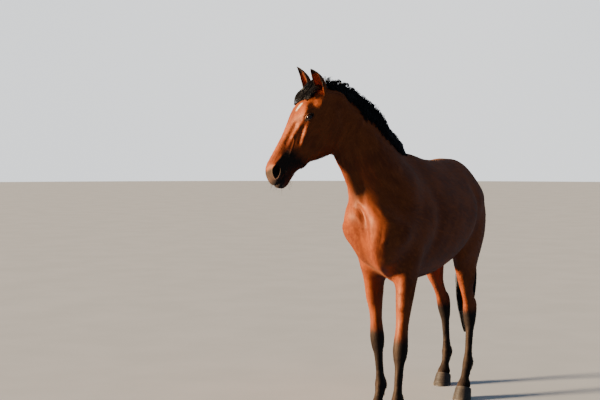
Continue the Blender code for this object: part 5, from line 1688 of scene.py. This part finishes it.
# ------------------------------------------------------------------ the tail
# Long coarse black hair springs from the dock, arches out and hangs to the hocks, fullest
# halfway down and thin at its ends. A close core keeps it dense under hundreds of locks.
TAIL = (
    (0.0, 0.800, 1.400, 0.030, 0.030),
    (0.0, 0.870, 1.412, 0.034, 0.034),
    (0.0, 0.928, 1.372, 0.038, 0.036),
    (0.0, 0.962, 1.280, 0.046, 0.038),
    (0.0, 0.974, 1.150, 0.060, 0.044),
    (0.0, 0.972, 0.960, 0.076, 0.052),
    (0.0, 0.964, 0.760, 0.080, 0.054),
    (0.0, 0.956, 0.570, 0.066, 0.044),
    (0.0, 0.952, 0.430, 0.036, 0.024),
    (0.0, 0.950, 0.370, 0.010, 0.008),
)
# Below this height the hair hangs, so that its depth is measured level.
DOCK_ENDS = 1.38
tail_table = np.array(TAIL)
tail_knots = np.concatenate(
    [[0], np.cumsum(np.linalg.norm(np.diff(tail_table[:, 1:3], axis=0), axis=1))]
)


def unturned(points):
    """The tail hangs straight behind, clear of the pose of neck and feet."""
    return points + TO_FRAME


tail_paths = bundle(
    TAIL, tail_knots, 1250, 16, (0.02, 0.42), (0.35, 0.98), 0.0026, 0.10, np.asarray
)
lock_piece("tail_locks", *tail_paths, "tail", place=unturned)
core_rings = []
turn = np.linspace(0, 2 * math.pi, 40, endpoint=False)
for row in curve_through(tail_knots, tail_table, np.linspace(0.0, 0.86, 60) * tail_knots[-1]):
    ripple = 0.74 + 0.05 * np.sin(turn * 13 + row[2] * 9)
    up = (0, 1, 0) if row[2] < DOCK_ENDS else (0, 0.3, 1)
    across_core, up_core = np.cos(turn) * row[3] * ripple, np.sin(turn) * row[4] * ripple
    core_rings.append(row[:3] + np.outer(across_core, X_AXIS) + np.outer(up_core, up))
core_piece("tail_core", core_rings, lambda points: points * [1, 1, 0.1], unturned)

# ------------------------------------------------------------------ lashes and whiskers
# Stiff black lashes stand along each upper lid, and fine feelers grow on lips and chin. Each is a
# single hair, a thin cone bent under its own weight.
LASH_LONG, LASH_WIDE = 0.014, 0.00032
FEELER_LONG, FEELER_WIDE = 0.034, 0.00030


def bent_hairs(roots, ways, long, wide, droop, steps):
    """Single hairs that leave their roots one way and bend towards the ground."""
    t = np.linspace(0, 1, steps)[None, :, None]
    long = np.asarray(long)[:, None, None]
    paths = roots[:, None, :] + ways[:, None, :] * long * t
    paths = paths + np.array([0, 0, -1.0]) * long * droop * t * t
    ways_out = np.repeat(np.cross(ways, (0.0, 0.3, 1.0))[:, None, :], steps, axis=1)
    width = wide * (1 - 0.8 * t[:, :, 0]) * np.ones((len(roots), 1))
    return lock_rings(paths, ways_out, width, width)


lash_roots, lash_ways = [], []
for side in (1, -1):
    turn = np.radians(np.linspace(18, 162, 64)) + LUCK.normal(0, 0.02, 64)
    along = OPEN_LONG * 1.08 * np.cos(turn)
    up = OPEN_HIGH * 1.02 * np.sin(turn) - 0.10 * along
    out = np.sqrt((EYE_RADIUS + LID_THICK) ** 2 - along**2 - up**2) + 0.0004
    root = EYE_PLACE + np.outer(along, EYE_ALONG) + np.outer(up, EYE_UP)
    root += np.outer(out, EYE_OUT)
    way = EYE_OUT + np.outer(np.sin(turn) * 0.35, EYE_UP)
    way += np.outer(np.cos(turn), EYE_ALONG) * 0.5 + LUCK.normal(0, 0.07, way.shape)
    mirror = np.array([side, 1, 1])
    lash_roots.append(on_head(root * mirror))
    lash_ways.append((way * mirror) @ HEAD_AXES)
lash_roots, lash_ways = np.vstack(lash_roots), np.vstack(lash_ways)
lash_places = posed(lash_roots)
lash_ways = unit(posed_ways(lash_roots, lash_ways))
lash_long = LASH_LONG * LUCK.uniform(0.7, 1.1, len(lash_roots))
lashes = bent_hairs(lash_places, lash_ways, lash_long, LASH_WIDE, 0.35, 5)
hair_piece("eye_lashes", *lashes, lash_roots, 15, black_hair, "black_hair")

on_chin = is_head(patch_middle, 0.0) & (on_face[:, 1] > 0.50) & (on_face[:, 2] < -0.085)
roots, places, out, way = scattered(on_chin, 90)
ways = unit(out + 0.5 * way + LUCK.normal(0, 0.15, out.shape))
long = FEELER_LONG * LUCK.uniform(0.4, 1.1, len(roots))
tips = places + ways * long[:, None]
low, high = (np.array(corner) for corner in cad_box)
inside = np.all((tips > low + 0.002) & (tips < high - 0.002), axis=1)
feelers = bent_hairs(places[inside], ways[inside], long[inside], FEELER_WIDE, 0.3, 6)
hair_piece("feelers", *feelers, roots[inside], 18, black_hair, "black_hair")

# ------------------------------------------------------------------ floor, light and camera
# The horse stands on a plain pale studio floor before a plain pale wall. One broad warm light
# comes from far off and low, past its right shoulder, and a faint cool one fills the shade.
FLOOR_REACH, WALL_AWAY, WALL_HIGH, WALL_SIDES = 60, 55.0, 40.0, 96
FLOOR_PALE, FLOOR_PALER = colour(0.76, 0.78, 0.81), colour(0.81, 0.83, 0.86)
WALL_PALE, WALL_PALER = colour(1.30, 1.34, 1.38), colour(1.38, 1.41, 1.44)


def staged(name, points, faces, paint):
    """Something round the horse that stays off it: it throws no light on the coat."""
    made = shown(name, mesh_of(name, points, faces), paint)
    made.visible_diffuse = made.visible_glossy = False
    return made


floor_paint, paint, sockets = finish("pale_floor", Roughness=0.8)
cloud = paint.place().noise(1.6, detail=4.0)
feed(paint, sockets["Base Color"], cloud.step(0.3, 0.7).blend(FLOOR_PALE, FLOOR_PALER))
corners_round = ((-1, -1), (1, -1), (1, 1), (-1, 1))
floor_points = [(x * FLOOR_REACH, y * FLOOR_REACH, 0) for x, y in corners_round]
staged("floor", floor_points, [(0, 1, 2, 3)], floor_paint)

wall_paint, paint, sockets = finish(
    "pale_wall", Base_Color=colour(0, 0, 0), Roughness=1.0, Specular_IOR_Level=0.0,
    Emission_Strength=1.0,
)
shade = paint.place().noise(0.05, detail=1.0).step(0.2, 0.8)
feed(paint, sockets["Emission Color"], shade.blend(WALL_PALE, WALL_PALER))
turn = np.linspace(0, 2 * math.pi, WALL_SIDES, endpoint=False)
foot = np.column_stack([np.cos(turn) * WALL_AWAY, np.sin(turn) * WALL_AWAY, 0 * turn - 0.5])
wall_points = np.vstack([foot, foot + [0, 0, WALL_HIGH]])
here = np.arange(WALL_SIDES)
after = (here + 1) % WALL_SIDES
wall_faces = zip(here, here + WALL_SIDES, after + WALL_SIDES, after)
staged("wall", wall_points, wall_faces, wall_paint).visible_shadow = False

world = bpy.data.worlds.new("studio")
world.use_nodes = True
world.node_tree.nodes["Background"].inputs["Color"].default_value = colour(0.58, 0.76, 1.0)
world.node_tree.nodes["Background"].inputs["Strength"].default_value = 0.20
bpy.context.scene.world = world

sun = bpy.data.lights.new("key", "SUN")
sun.energy, sun.color, sun.angle = 14.0, (1.0, 0.76, 0.49), math.radians(11)
key = bpy.data.objects.new("key", sun)
key.rotation_euler = Vector((0.76, 0.60, -0.17)).to_track_quat("-Z", "Y").to_euler()
bpy.context.scene.collection.objects.link(key)

camera_data = bpy.data.cameras.new("camera")
camera_data.lens = 70
camera = bpy.data.objects.new("camera", camera_data)
camera.location = Vector((2.4967, -6.8598, 1.64)) + Vector(TO_FRAME)
camera.rotation_euler = (math.radians(90 - 2.454), 0, math.radians(25.82))
bpy.context.scene.collection.objects.link(camera)
bpy.context.scene.camera = camera
